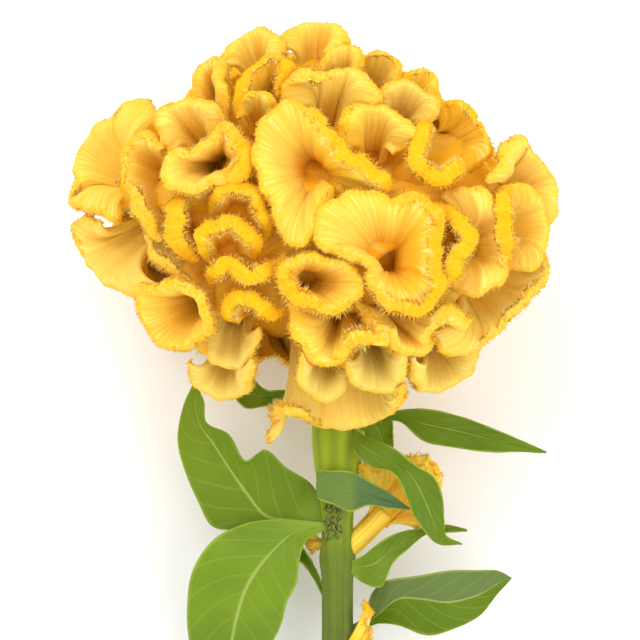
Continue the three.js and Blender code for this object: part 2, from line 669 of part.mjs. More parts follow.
// The ribbed stem as rings of corners, closed by a cap at each end. The cut is slanted.
function stemSolid(extra) {
  const corners = STEM_RIBS * 2;
  const levels = [STEM_CUT_Y, -217, CUT_SLANT_START_Y, -200, -196, -192, -180, -166, -161, -158, -155,
    -145, -132, -125, -122, -119, -108, -98, -93, -88, -82, -74, -66, -58, -47, STEM_TOP_Y];
  const positions = [];
  levels.forEach((level, i) => {
    const shape = stemShape(level);
    for (let j = 0; j < corners; j += 1) {
      const around = j * 2 * Math.PI / corners;
      const rib = j % 2 === 0 ? RIB_DEPTH : -RIB_DEPTH;
      const cutShare = Math.max(0, (CUT_SLANT_START_Y - level) / (CUT_SLANT_START_Y - STEM_CUT_Y));
      const slant = CUT_SLANT * Math.cos(around) * cutShare;
      positions.push(
        shape.x + (shape.halfWidth + rib / 2 + extra) * Math.cos(around),
        level + slant + (i === levels.length - 1 ? extra : 0),
        shape.z + (shape.halfDepth + rib / 2 + extra) * Math.sin(around),
      );
    }
  });
  const index = [];
  for (let i = 0; i + 1 < levels.length; i += 1) {
    for (let j = 0; j < corners; j += 1) {
      const a = i * corners + j;
      const b = i * corners + (j + 1) % corners;
      index.push(a, a + corners, b, b, a + corners, b + corners);
    }
  }
  const first = positions.length / 3;
  const foot = stemShape(levels[0]);
  const top = stemShape(levels[levels.length - 1]);
  positions.push(foot.x, levels[0], foot.z, top.x, STEM_TOP_Y + extra, top.z);
  for (let j = 0; j < corners; j += 1) {
    const b = (j + 1) % corners;
    const start = (levels.length - 1) * corners;
    index.push(first, j, b);
    index.push(first + 1, start + b, start + j);
  }
  const geometry = new THREE.BufferGeometry();
  geometry.setAttribute('position', new THREE.Float32BufferAttribute(positions, 3));
  geometry.setIndex(index);
  return toSolid(geometry);
}

// The leaves, each drawn by its two edges and the midrib between them, from the stem to the tip
const LEAVES = {
  leaf_left_upper: {
    left: [[3.5, -84.2, -3], [-9.5, -84.2, -1], [-20.3, -84.8, -1], [-28.4, -84.2, -2], [-32.7, -77, -4],
      [-36.2, -68.9, -6], [-38.1, -60.8, -9], [-36.7, -52.1, -11], [-34, -45.9, -13]],
    rib: [[3.5, -83.4, -3], [-7, -82.6, -2.5], [-14, -81.5, -2.5], [-19.2, -75.3, -3.5], [-24, -68.3, -5],
      [-28.4, -61.6, -7], [-31.9, -56.7, -9], [-33.5, -50.5, -11], [-33.5, -45, -13]],
    right: [[3.5, -82.6, -3], [-1.8, -72.8, -4], [-8.6, -68.2, -3], [-14.4, -63.4, -2],
      [-19.5, -66.5, -3], [-24.2, -59.3, -5], [-30.4, -56, -8], [-31, -50.5, -10], [-33, -45.9, -13]],
  },
  leaf_left_lower: {
    left: [[3.5, -83.2, -1], [-11.3, -82.1, 2], [-20.3, -83.4, 4], [-28.1, -87.5, 4], [-33.8, -95.9, 2],
      [-35.4, -106.1, -2], [-34.8, -116.1, -8], [-31.6, -125.6, -15], [-26.9, -132.8, -22]],
    rib: [[3.5, -83.7, -1], [-6.8, -86.1, 1], [-12.2, -90.7, 2.5], [-16.7, -96.1, 2.5],
      [-19.7, -101.5, 1], [-21.9, -108.3, -2], [-23.5, -116.1, -7], [-24.8, -125, -14],
      [-26.4, -133.6, -22]],
    right: [[3.5, -84.5, -1], [-3.2, -88, 2], [-5.1, -93.7, 4], [-5.7, -99.1, 4], [-8.4, -104.5, 2],
      [-9.7, -109.9, -1], [-12.4, -115.6, -6], [-17.8, -123.4, -13], [-25.8, -132.9, -22]],
  },
  leaf_left_small: {
    left: [[3, -49.4, -6.6], [-4, -50.2, -6.8], [-10.3, -50.8, -7.5], [-15, -51.8, -8],
      [-19.4, -52.3, -9], [-23, -48.9, -10], [-27, -42, -12]],
    rib: [[3, -48.2, -7], [-4, -48.7, -7.2], [-10, -49, -8], [-15, -49.3, -9], [-19, -48, -10],
      [-23, -45, -11], [-27, -41.3, -12]],
    right: [[3, -47, -6.6], [-4, -47.2, -6.8], [-9.7, -47.4, -7.5], [-14, -47.4, -8.5],
      [-18.5, -43.5, -9.5], [-23, -41, -11], [-26.8, -40.8, -12]],
  },
  leaf_left_hidden: {
    left: [[2.5, -104.2, -3], [-0.3, -96.4, -3.5], [-3, -91.6, -4], [-8, -86.5, -5], [-14.5, -86, -6],
      [-21, -92, -8]],
    rib: [[2.5, -104.7, -3], [-0.8, -97.2, -4], [-4, -92.8, -5], [-9, -89.5, -6], [-15, -89.5, -7],
      [-21.3, -92.3, -8]],
    right: [[2.5, -105.4, -3], [-1.6, -97.8, -3.5], [-5, -93.6, -4], [-10.5, -93, -5], [-16, -93.5, -6],
      [-21.5, -92.6, -8]],
  },
  leaf_right_long: {
    left: [[9, -59.2, -2], [13.5, -54.8, -1], [21.1, -52.9, 1], [28.9, -52.4, 2], [38.9, -54.5, 2],
      [47.5, -57.8, 1], [54.8, -60.8, -1], [61.6, -63.8, -3]],
    rib: [[9, -59.9, -2], [13.5, -55.9, -1.5], [21.1, -54.3, 0], [28.9, -56.4, 0.5], [38.9, -58.6, 0.5],
      [47.5, -60.8, 0], [55.1, -62.6, -1.5], [61.8, -64.1, -3]],
    right: [[9, -60.6, -2], [13.5, -57.2, -1.5], [21.6, -55.6, 0], [28.6, -61, 2], [37.8, -62.9, 2],
      [47.3, -64, 1], [54.5, -64, -1], [61.6, -64.4, -3]],
  },
  leaf_right_short: {
    left: [[9, -53, -6], [11.5, -56.5, -6], [13, -60.5, -6.5], [14, -64, -7.5], [15.5, -66.5, -9],
      [17.5, -68, -10]],
    rib: [[9, -52, -6], [13, -54, -6.5], [16, -57.5, -7], [17.5, -61, -8], [18, -64.5, -9],
      [17.8, -67.9, -10]],
    right: [[9, -51, -6], [15, -51.5, -5.5], [19.8, -54.5, -6], [20.3, -59.4, -7], [20.4, -63, -8.5],
      [18.2, -67.6, -10]],
  },
  leaf_right_drooping: {
    left: [[9.5, -59.6, 1], [9.7, -63.5, 6], [14.3, -67.8, 9], [20, -69.4, 11], [23, -74, 11],
      [25.4, -80.2, 9], [28.4, -84.8, 7], [32.1, -88.6, 5], [38.6, -88.9, 4]],
    rib: [[9.5, -58.6, 1], [11.3, -61.8, 6], [16.7, -65.1, 8.5], [22.7, -67.8, 10], [26.5, -72.4, 10],
      [29.2, -78, 8.5], [31.3, -83.2, 6.5], [33.5, -87.5, 5], [38.8, -88.8, 4]],
    right: [[9.5, -57.6, 1], [13.5, -59.9, 6], [20, -62.6, 10], [26.5, -67.5, 12], [31.3, -70.7, 11],
      [33.5, -76.1, 9], [34, -82.4, 7], [34.6, -86.4, 5], [38.6, -88.4, 4]],
  },
  leaf_front_folded: {
    left: [[2.5, -73, 0.5], [0, -69, 4], [3.2, -68.9, 5.5], [8.6, -69.1, 6], [13.5, -71.6, 5.5],
      [18.4, -74.3, 4.5], [24.6, -78.9, 3]],
    rib: [[3, -73.4, 0.5], [-0.3, -72.6, 3.2], [3.2, -73.4, 4], [8.6, -74.3, 4.5], [13.5, -75.3, 4],
      [18.4, -77, 3.5], [24.8, -79.2, 3]],
    right: [[2.5, -74, 0.5], [-0.2, -76.1, 4], [4, -78, 5], [8.6, -79.9, 5.5], [13.5, -78.3, 5.5],
      [18.9, -79.1, 4.5], [24.6, -79.5, 3]],
  },
  leaf_right_arching: {
    left: [[7, -94, -1.5], [11.9, -92.1, 1.5], [15.1, -89.4, 4], [18.9, -86.9, 4], [23.2, -85.3, 1],
      [28.6, -84.5, -1], [34.6, -83.7, -2.5], [40.2, -84.9, -4]],
    rib: [[7, -94.5, -1.5], [12.2, -94.8, 1], [15.7, -93.7, 2.5], [19.7, -90.2, 2.5], [23.8, -87.8, 0.5],
      [28.9, -85.6, -1.5], [34.8, -84.8, -3], [40.4, -85.2, -4]],
    right: [[7, -95, -1.5], [12.4, -99.4, 1.5], [17, -100.2, 4], [20.3, -93.7, 3.5], [24.6, -89.9, 1],
      [29.4, -86.3, -1], [34.8, -85.8, -2.5], [40.2, -85.6, -4]],
  },
  leaf_right_lower: {
    left: [[7, -112, -4], [12, -109, -5], [14.5, -102.5, -3], [18, -99, 1], [27.5, -97.2, 5],
      [35.6, -95.9, 4], [43.2, -95.9, 1], [48.6, -96.1, -2], [52.1, -98, -6]],
    rib: [[7, -113, -4], [12, -111.3, -5], [15.4, -109, -4], [22, -103.5, 0.5], [28, -103.5, 1.5],
      [35, -104.5, 1], [43.5, -102.5, -1], [48.9, -99.5, -3.5], [52.3, -98.3, -6]],
    right: [[7, -114, -4], [12, -112.3, -5], [16, -110.6, -4], [21.6, -110.8, 0], [29.7, -113.4, 2],
      [37.3, -111.5, 1], [44, -108, -1], [48.1, -102.9, -3.5], [52.1, -98.6, -6]],
  },
};

// The surface of a leaf as rows of places from the left edge to the right one, with ruffled margins
function leafRows(plan, seed) {
  const random = seededRandom(seed);
  const phases = [random() * 2 * Math.PI, random() * 2 * Math.PI];
  const edges = [plan.left, plan.rib, plan.right].map((line) => new THREE.CatmullRomCurve3(line.map(point)));
  return Array.from({ length: LEAF_ROWS + 1 }, (_, i) => {
    const share = i / LEAF_ROWS;
    const [left, rib, right] = edges.map((edge) => edge.getPoint(share));
    return LEAF_COLUMNS.map((column) => {
      const place = rib.clone().lerp(column < 0 ? left : right, Math.abs(column));
      const wave = LEAF_WAVE * Math.sin(share * LEAF_WAVE_TURNS * 2 * Math.PI + phases[column < 0 ? 0 : 1]);
      const sag = LEAF_SAG * (Math.abs(column) - column * column);
      place.z += (wave * column * column - sag) * Math.sin(Math.PI * share);
      return place;
    });
  });
}

// A leaf blade of even thickness: its top and bottom skins are split the same way
function leafSolid(plan, extra, seed) {
  const rows = leafRows(plan, seed);
  const width = LEAF_COLUMNS.length;
  const half = LEAF_THICKNESS / 2 + extra;
  const skins = [1, -1].map((sign) => rows.flatMap((row, i) => row.map((place, j) => {
    const lengthwise = rows[Math.min(i + 1, LEAF_ROWS)][j].clone().sub(rows[Math.max(i - 1, 0)][j]);
    const across = row[Math.min(j + 1, width - 1)].clone().sub(row[Math.max(j - 1, 0)]);
    const normal = across.clone().cross(lengthwise).normalize();
    if (normal.z < 0) {
      normal.negate();
    }
    const margin = (j === 0 ? -extra : 0) + (j === width - 1 ? extra : 0);
    const tip = (i === 0 ? -extra : 0) + (i === LEAF_ROWS ? extra : 0);
    return place.clone().addScaledVector(normal, sign * half)
      .addScaledVector(across.normalize(), margin)
      .addScaledVector(lengthwise.normalize(), tip);
  })));
  const sheet = rows.length * width;
  const index = [];
  const quad = (a, b, c, d) => index.push(a, b, c, c, b, d);
  for (let i = 0; i < LEAF_ROWS; i += 1) {
    for (let j = 0; j + 1 < width; j += 1) {
      const a = i * width + j;
      quad(a, a + 1, a + width, a + width + 1);
      index.push(sheet + a, sheet + a + width, sheet + a + 1);
      index.push(sheet + a + width, sheet + a + width + 1, sheet + a + 1);
    }
    const near = i * width;
    const far = near + width - 1;
    quad(sheet + near, near, sheet + near + width, near + width);
    quad(far, sheet + far, far + width, sheet + far + width);
  }
  for (let j = 0; j + 1 < width; j += 1) {
    const end = LEAF_ROWS * width + j;
    quad(sheet + j, sheet + j + 1, j, j + 1);
    quad(end, end + 1, sheet + end, sheet + end + 1);
  }
  const geometry = new THREE.BufferGeometry().setFromPoints(skins.flat());
  geometry.setIndex(index);
  const solid = toSolid(geometry);
  return solid.volume() > 0 ? solid : toSolid(turnedOut(geometry));
}

// The same geometry with its faces turned over
function turnedOut(geometry) {
  const turned = geometry.clone();
  const index = turned.index.array;
  for (let i = 0; i < index.length; i += 3) {
    [index[i], index[i + 1]] = [index[i + 1], index[i]];
  }
  return turned;
}

// The small crests that grow from the stem beside the leaves: one open fold each, on a stalk
const SIDE_CRESTS = {
  side_crest_right: {
    throat: [[16, -82.5, -3]],
    rim: [[9.5, -68, -2], [14.5, -68.5, -1], [19, -67.5, -2], [23.5, -67.5, -4], [28, -66.5, -3],
      [32, -67.5, -3], [33, -72.5, -4], [30.5, -78.5, -4], [26.5, -85, -3]],
    stalk: [[7, -91, -4], [12, -86.5, -4], [18, -80, -3]], stalkRadius: 3,
  },
  side_crest_left: {
    throat: [[0.5, -89, -5]],
    rim: [[-1, -85.5, -5], [-2.6, -87, -4.5], [-2.8, -89.5, -5], [-1.5, -92, -5]],
    stalk: [[4, -89, -5], [2, -89, -5], [-0.5, -89, -5]], stalkRadius: 1.5,
  },
  side_crest_low: {
    throat: [[10.3, -117, 0]],
    rim: [[12.5, -104, 0], [14.4, -107, 1], [14, -110, 0], [14.4, -114, 0], [13.6, -118, 0],
      [12.4, -121.5, -0.6]],
    stalk: [[5.5, -122.6, -1.8], [8.2, -120.6, -1], [10.4, -114.8, 0.2]], stalkRadius: 1.75,
  },
};

function sideCrest(plan, seed) {
  const fold = {
    throat: plan.throat.map(point),
    rim: plan.rim.map(point),
    closed: false,
    dip: 0,
    spacing: SIDE_CREST_SPACING,
    levels: SIDE_SHEET_LEVELS,
    rise: SIDE_RISE,
    wave: SIDE_RIM_WAVE,
    ...SIDE_SHEET,
  };
  const path = new THREE.CatmullRomCurve3(plan.stalk.map(point));
  const section = new THREE.Shape().absarc(0, 0, plan.stalkRadius, 0, 2 * Math.PI);
  const stalk = new THREE.ExtrudeGeometry(section, { steps: 5, curveSegments: 4, extrudePath: path });
  return outerBody(joinAll([toSolid(stalk), ...foldCells(fold, seed)]));
}

function namedMesh(name, solid, colour, roughness) {
  const material = new THREE.MeshStandardMaterial({ color: colour, roughness, metalness: 0 });
  const mesh = new THREE.Mesh(parted(toGeometry(solid)), material);
  mesh.name = name;
  return mesh;
}

const flower = new THREE.Group();
flower.applyMatrix4(lying());

const surface = aboveSurface();
const stemRoom = stemSolid(CLEARANCE);
const leafPlans = Object.entries(LEAVES);
const leafRoom = joinAll(leafPlans.map(([, plan], k) => leafSolid(plan, CLEARANCE, LEAF_SEED + k)));
const crestPlans = Object.entries(SIDE_CRESTS);

const folds = [...Object.values(FRONT_FOLDS).map(frontFold), restFold(), ...backFolds()];
const headCells = folds.flatMap((fold, k) => foldCells(fold, HEAD_SEED + HEAD_SEED_STEP * k));
const wholeHead = joinAll([headCore(), headNeck(), ...headCells]).intersect(surface);
const gaps = joinAll(LOBE_GAPS.map(lobeGap));
const head = outerBody(wholeHead.subtract(stemRoom).subtract(leafRoom).subtract(gaps));

flower.add(namedMesh('flower_head', head, BAND_COLOUR, 0.75));
flower.add(namedMesh('stem', stemSolid(0).intersect(surface), STEM_COLOUR, 0.55));
leafPlans.forEach(([name, plan], k) => {
  const colour = name === 'leaf_front_folded' ? BLUE_LEAF_COLOUR : LEAF_COLOUR;
  const blade = outerBody(leafSolid(plan, 0, LEAF_SEED + k).subtract(stemRoom).intersect(surface));
  flower.add(namedMesh(name, blade, colour, 0.5));
});
crestPlans.forEach(([name, plan], k) => {
  const crest = outerBody(sideCrest(plan, SIDE_CREST_SEED + k).subtract(stemRoom).subtract(leafRoom));
  flower.add(namedMesh(name, crest, BAND_COLOUR, 0.75));
});

export default flower;
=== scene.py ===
import math
from types import SimpleNamespace

import bmesh
import bpy
import numpy as np
from mathutils import Matrix, Vector


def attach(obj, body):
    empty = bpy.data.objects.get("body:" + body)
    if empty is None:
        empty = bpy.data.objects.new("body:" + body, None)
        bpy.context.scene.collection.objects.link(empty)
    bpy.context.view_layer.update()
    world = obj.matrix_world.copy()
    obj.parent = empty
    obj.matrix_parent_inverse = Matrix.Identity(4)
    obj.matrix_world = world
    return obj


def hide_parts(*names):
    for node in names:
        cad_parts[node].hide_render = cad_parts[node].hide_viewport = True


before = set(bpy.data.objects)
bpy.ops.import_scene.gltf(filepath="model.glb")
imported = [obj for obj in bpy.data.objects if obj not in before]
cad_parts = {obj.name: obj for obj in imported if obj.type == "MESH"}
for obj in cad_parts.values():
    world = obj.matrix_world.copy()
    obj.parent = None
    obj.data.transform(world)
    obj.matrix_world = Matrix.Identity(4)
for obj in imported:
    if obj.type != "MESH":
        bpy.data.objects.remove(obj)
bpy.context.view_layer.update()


# Stem: the fleshy ribbed stalk that carries the head, of green and fibrous tissue. It swells at the four
# nodes where leaves sat, widens and flattens below the head, and ends in a slanted cut with a pale pith.
# It is drawn upright in growth millimetres, x right, y up the stem, z out of the head's front, and laid down.
LIE_ANGLE = math.radians(10)
HEAD_LIFT = 46.5
STEM_CUT_Y = -225
STEM_TOP_Y = -36
STEM_NODES = (-93, -122, -158, -196)
STEM_SIDES = 108
STEM_RIBS = 9


def laid(places):
    """Growth millimetres turned and lifted to the lying flower, in metres."""
    x, y, z = np.moveaxis(np.asarray(places, float), -1, 0)
    low, high = math.sin(LIE_ANGLE), math.cos(LIE_ANGLE)
    turned = np.stack([x, y * high - z * low, y * low + z * high + HEAD_LIFT], -1)
    turned[..., 2] = np.maximum(turned[..., 2], 0.02)
    return turned / 1000


def smooth_step(share):
    share = np.clip(share, 0, 1)
    return share * share * (3 - 2 * share)


def mix(a, b, share):
    return a + (b - a) * share


def grown_sheet(columns, rows, shape, closed_by=0.004):
    """A grid of quads whose vertices shape(u, v) places, with seams and poles closed.

    shape gives the places and a dict of values that the finish reads from the vertices.
    """
    bm = bmesh.new()
    bm.loops.layers.uv.new("surface")
    bmesh.ops.create_grid(bm, x_segments=columns, y_segments=rows, size=1, calc_uvs=True)
    spots = np.array([vert.co[:2] for vert in bm.verts]) / 2 + 0.5
    places, values = shape(spots[:, 0], spots[:, 1])
    layers = [bm.verts.layers.float.new(name) for name in values]
    for vert, place, *row in zip(bm.verts, laid(places), *values.values()):
        vert.co = place
        for layer, value in zip(layers, row):
            vert[layer] = value
    bmesh.ops.remove_doubles(bm, verts=bm.verts, dist=closed_by / 1000)
    bmesh.ops.dissolve_degenerate(bm, edges=bm.edges, dist=closed_by / 1000)
    bmesh.ops.recalc_face_normals(bm, faces=bm.faces)
    return bm


def piece_of(name, sheets, finish, slot, *nodes):
    """One named piece made of the given sheets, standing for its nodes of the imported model."""
    whole = bmesh.new()
    for sheet in sheets:
        part = bpy.data.meshes.new("part")
        sheet.to_mesh(part)
        sheet.free()
        whole.from_mesh(part)
        bpy.data.meshes.remove(part)
    mesh = bpy.data.meshes.new(name)
    whole.to_mesh(mesh)
    whole.free()
    mesh.shade_smooth()
    mesh.materials.append(finish.material)
    piece = bpy.data.objects.new(name, mesh)
    bpy.context.collection.objects.link(piece)
    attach(piece, "root")
    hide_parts(*nodes)
    return piece


def stem_size(y):
    """Half width, half depth and middle of the stem at heights y."""
    widen = smooth_step((y + 84) / 24)
    node = sum(np.exp(-((y - middle) / 3.5) ** 2) for middle in STEM_NODES)
    foot = 0.3 * smooth_step((-190 - y) / 35)
    lean = smooth_step((-110 - y) / 115)
    half_width = mix(4.15, 6.9, widen) + 0.7 * node + foot
    half_depth = mix(4.15, 5.0, widen) + 0.6 * node + foot
    return half_width, half_depth, 5.2 - 5 * lean


def stem_skin(u, v):
    cut_rows, side_rows, top_rows = 8, 230, 3
    row = v * (cut_rows + side_rows + top_rows)
    radius = np.interp(row, [0, cut_rows, cut_rows + side_rows, row.max()], [0, 1, 1, 0])
    y = np.interp(row, [cut_rows, cut_rows + side_rows], [STEM_CUT_Y, STEM_TOP_Y])
    around = 2 * np.pi * u
    half_width, half_depth, middle = stem_size(y)
    rib = 0.17 * np.cos(STEM_RIBS * around) + 0.05 * np.cos(23 * around + 0.03 * y)
    slant = 1.5 * np.cos(around) * np.clip((-206 - y) / 19, 0, 1) * radius
    sunk = 0.5 * np.exp(-((radius - 0.45) / 0.2) ** 2) * (row < cut_rows)
    x = middle + (half_width + rib) * np.cos(around) * radius
    z = -3 + (half_depth + rib) * np.sin(around) * radius
    return np.stack([x, y + slant + sunk, z], -1), {"height": y, "from_middle": radius, "around": around}


def grain_group():
    """The soft uneven grain that all the finishes share, as a group that gives an amount from 0 to 1."""
    group = bpy.data.node_groups.new("soft_grain", "ShaderNodeTree")
    taken, given = group.nodes.new("NodeGroupInput"), group.nodes.new("NodeGroupOutput")
    noise = group.nodes.new("ShaderNodeTexNoise")
    group.interface.new_socket("Amount", in_out="OUTPUT", socket_type="NodeSocketFloat")
    group.links.new(noise.outputs["Fac"], given.inputs["Amount"])
    for name, kind in (("Place", "Vector"), ("Scale", "Float"), ("Detail", "Float")):
        group.interface.new_socket(name, in_out="INPUT", socket_type="NodeSocket" + kind)
        group.links.new(taken.outputs[name], noise.inputs["Vector" if name == "Place" else name])
    return group


soft_grain = grain_group()


class Finish:
    """A finish with its steady values on the shader itself, and the steps that its colour is made in."""

    def __init__(self, name, roughness, gloss=0.3, glow_through=0.0):
        self.material = bpy.data.materials.new(name)
        self.material.use_nodes = True
        self.nodes, self.links = self.material.node_tree.nodes, self.material.node_tree.links
        self.shader = self.nodes["Principled BSDF"]
        self.shader.inputs["Roughness"].default_value = roughness
        self.shader.inputs["Specular IOR Level"].default_value = gloss
        self.shader.inputs["Subsurface Weight"].default_value = glow_through
        self.shader.inputs["Subsurface Radius"].default_value = (1.0, 0.6, 0.2)
        self.shader.inputs["Subsurface Scale"].default_value = 0.002

    def put(self, socket, value):
        """Gives a socket a number, a colour or another node's output."""
        if isinstance(value, (int, float)):
            socket.default_value = value
        elif isinstance(value, tuple):
            socket.default_value = (*value, 1)
        else:
            self.links.new(value, socket)

    def coloured(self, colour):
        self.put(self.shader.inputs["Base Color"], colour)

    def value(self, name):
        """A value that the piece's vertices carry."""
        reader = self.nodes.new("ShaderNodeAttribute")
        reader.attribute_name = name
        return reader.outputs["Fac"]

    def steps(self, value, *steps):
        """A ramp over a value, each step a place and its colour or grey."""
        ramp = self.nodes.new("ShaderNodeValToRGB")
        while len(ramp.color_ramp.elements) < len(steps):
            ramp.color_ramp.elements.new(0.5)
        for stop, (place, colour) in zip(ramp.color_ramp.elements, steps):
            stop.position = place
            stop.color = (*colour, 1) if isinstance(colour, tuple) else (colour, colour, colour, 1)
        self.put(ramp.inputs["Fac"], value)
        return ramp.outputs["Color"]

    def worked(self, operation, *values):
        node = self.nodes.new("ShaderNodeMath")
        node.operation = operation
        for socket, value in zip(node.inputs, values):
            self.put(socket, value)
        return node.outputs["Value"]

    def times(self, product, *factors):
        for factor in factors:
            product = self.worked("MULTIPLY", product, factor)
        return product

    def blended(self, share, first, second):
        """Two colours mixed by a value."""
        node = self.nodes.new("ShaderNodeMix")
        node.data_type = "RGBA"
        for socket, value in zip((node.inputs["Factor"], *node.inputs[6:8]), (share, first, second)):
            self.put(socket, value)
        return node.outputs[2]

    def painted(self, base, *coats):
        """A base colour under coats, each given as its colour and the factors of its share."""
        for colour, *factors in coats:
            base = self.blended(self.times(*factors), base, colour)
        return base

    def grain(self, scale, detail, place=None):
        """The shared grain over the piece, or over a place that is given."""
        node = self.nodes.new("ShaderNodeGroup")
        node.node_tree = soft_grain
        node.inputs["Scale"].default_value = scale
        node.inputs["Detail"].default_value = detail
        self.put(node.inputs["Place"], place or self.nodes.new("ShaderNodeTexCoord").outputs["Object"])
        return node.outputs["Amount"]

    def raised(self, height, depth, strength):
        """Fine relief on the shader's normal, depth in metres."""
        bump = self.nodes.new("ShaderNodeBump")
        bump.inputs["Strength"].default_value = strength
        bump.inputs["Distance"].default_value = depth
        self.put(bump.inputs["Height"], height)
        self.put(self.shader.inputs["Normal"], bump.outputs["Normal"])


look = Finish("stem_skin", 0.5, 0.15, 0.1)
from_middle = look.value("from_middle")
from_cut = look.worked("ADD", look.value("height"), -STEM_CUT_Y)
up_stem = look.worked("DIVIDE", from_cut, STEM_TOP_Y - STEM_CUT_Y)
green = look.steps(up_stem, (0.0, (0.070, 0.100, 0.010)), (0.55, (0.062, 0.092, 0.008)),
                   (0.70, (0.11, 0.16, 0.008)), (0.80, (0.34, 0.43, 0.006)), (1.0, (0.32, 0.41, 0.006)))
rib_wave = look.worked("COSINE", look.times(look.value("around"), STEM_RIBS))
stripe = look.times(look.worked("SUBTRACT", 1.0, rib_wave), 0.22)
cut = look.steps(from_middle, (0.0, (0.75, 0.76, 0.52)), (0.55, (0.62, 0.66, 0.34)),
                 (0.80, (0.36, 0.44, 0.14)), (0.97, (0.18, 0.26, 0.04)))
is_cut = look.worked("LESS_THAN", from_middle, 0.985)
look.coloured(look.painted(
    green, ((0.11, 0.19, 0.03), stripe), ((0.42, 0.47, 0.08), look.grain(260, 3), 0.16), (cut, is_cut)))
look.raised(look.grain(900, 2), 0.0002, 0.3)
piece_of("stem_stalk", [grown_sheet(STEM_SIDES, 241, stem_skin)], look, "stem", "stem")


# Bracts: the tuft of small dry scales at the stem's middle node, where a side shoot begins. They are thin
# leafy tissue, olive to brown, and stand up and outward in front of the stem.
def spike(bm, depth, root, tip, sides, thickness, values, flat=(1, 1)):
    """A pointed spike from root to tip, in metres, with the finish's depth value at either end."""
    reach = Vector(tip - root)
    place = Matrix.Translation(Vector((root + tip) / 2)) @ reach.to_track_quat("Z", "Y").to_matrix().to_4x4()
    made = bmesh.ops.create_cone(bm, cap_ends=True, segments=sides, radius1=thickness, radius2=0,
                                 depth=reach.length, matrix=place @ Matrix.Diagonal((*flat, 1, 1)))
    for vert in made["verts"]:
        vert[depth] = values[1] if (vert.co - Vector(tip)).length < 0.0001 else values[0]


def bract_tuft(count=46):
    """Flattened pointed scales, rooted in the stem's front."""
    bm = bmesh.new()
    depth = bm.verts.layers.float.new("depth")
    random = np.random.default_rng(8)
    for _ in range(count):
        x, y = random.uniform(1.6, 6.4), random.uniform(-88, -76)
        z = -3 + 5.0 * math.sqrt(max(0.05, 1 - ((x - 5.2) / 5.4) ** 2)) - 0.3
        lean = (random.normal(0, 0.9), random.uniform(0.8, 2.6), random.uniform(0.2, 1.3))
        root, tip = laid([(x, y, z), np.array([x, y, z]) + lean])
        spike(bm, depth, root, tip, 4, 0.00042, (0.0, 1.0), (1.6, 0.6))
    return bm


look = Finish("bract_olive", 0.7, 0.1)
olive = look.steps(look.value("depth"), (0.0, (0.13, 0.18, 0.03)), (1.0, (0.30, 0.34, 0.10)))
dry = look.steps(look.grain(400, 2), (0.45, 0), (0.6, 1))
look.coloured(look.painted(olive, ((0.22, 0.15, 0.04), dry, 0.45)))
piece_of("node_bracts", [bract_tuft()], look, "stem", "stem")


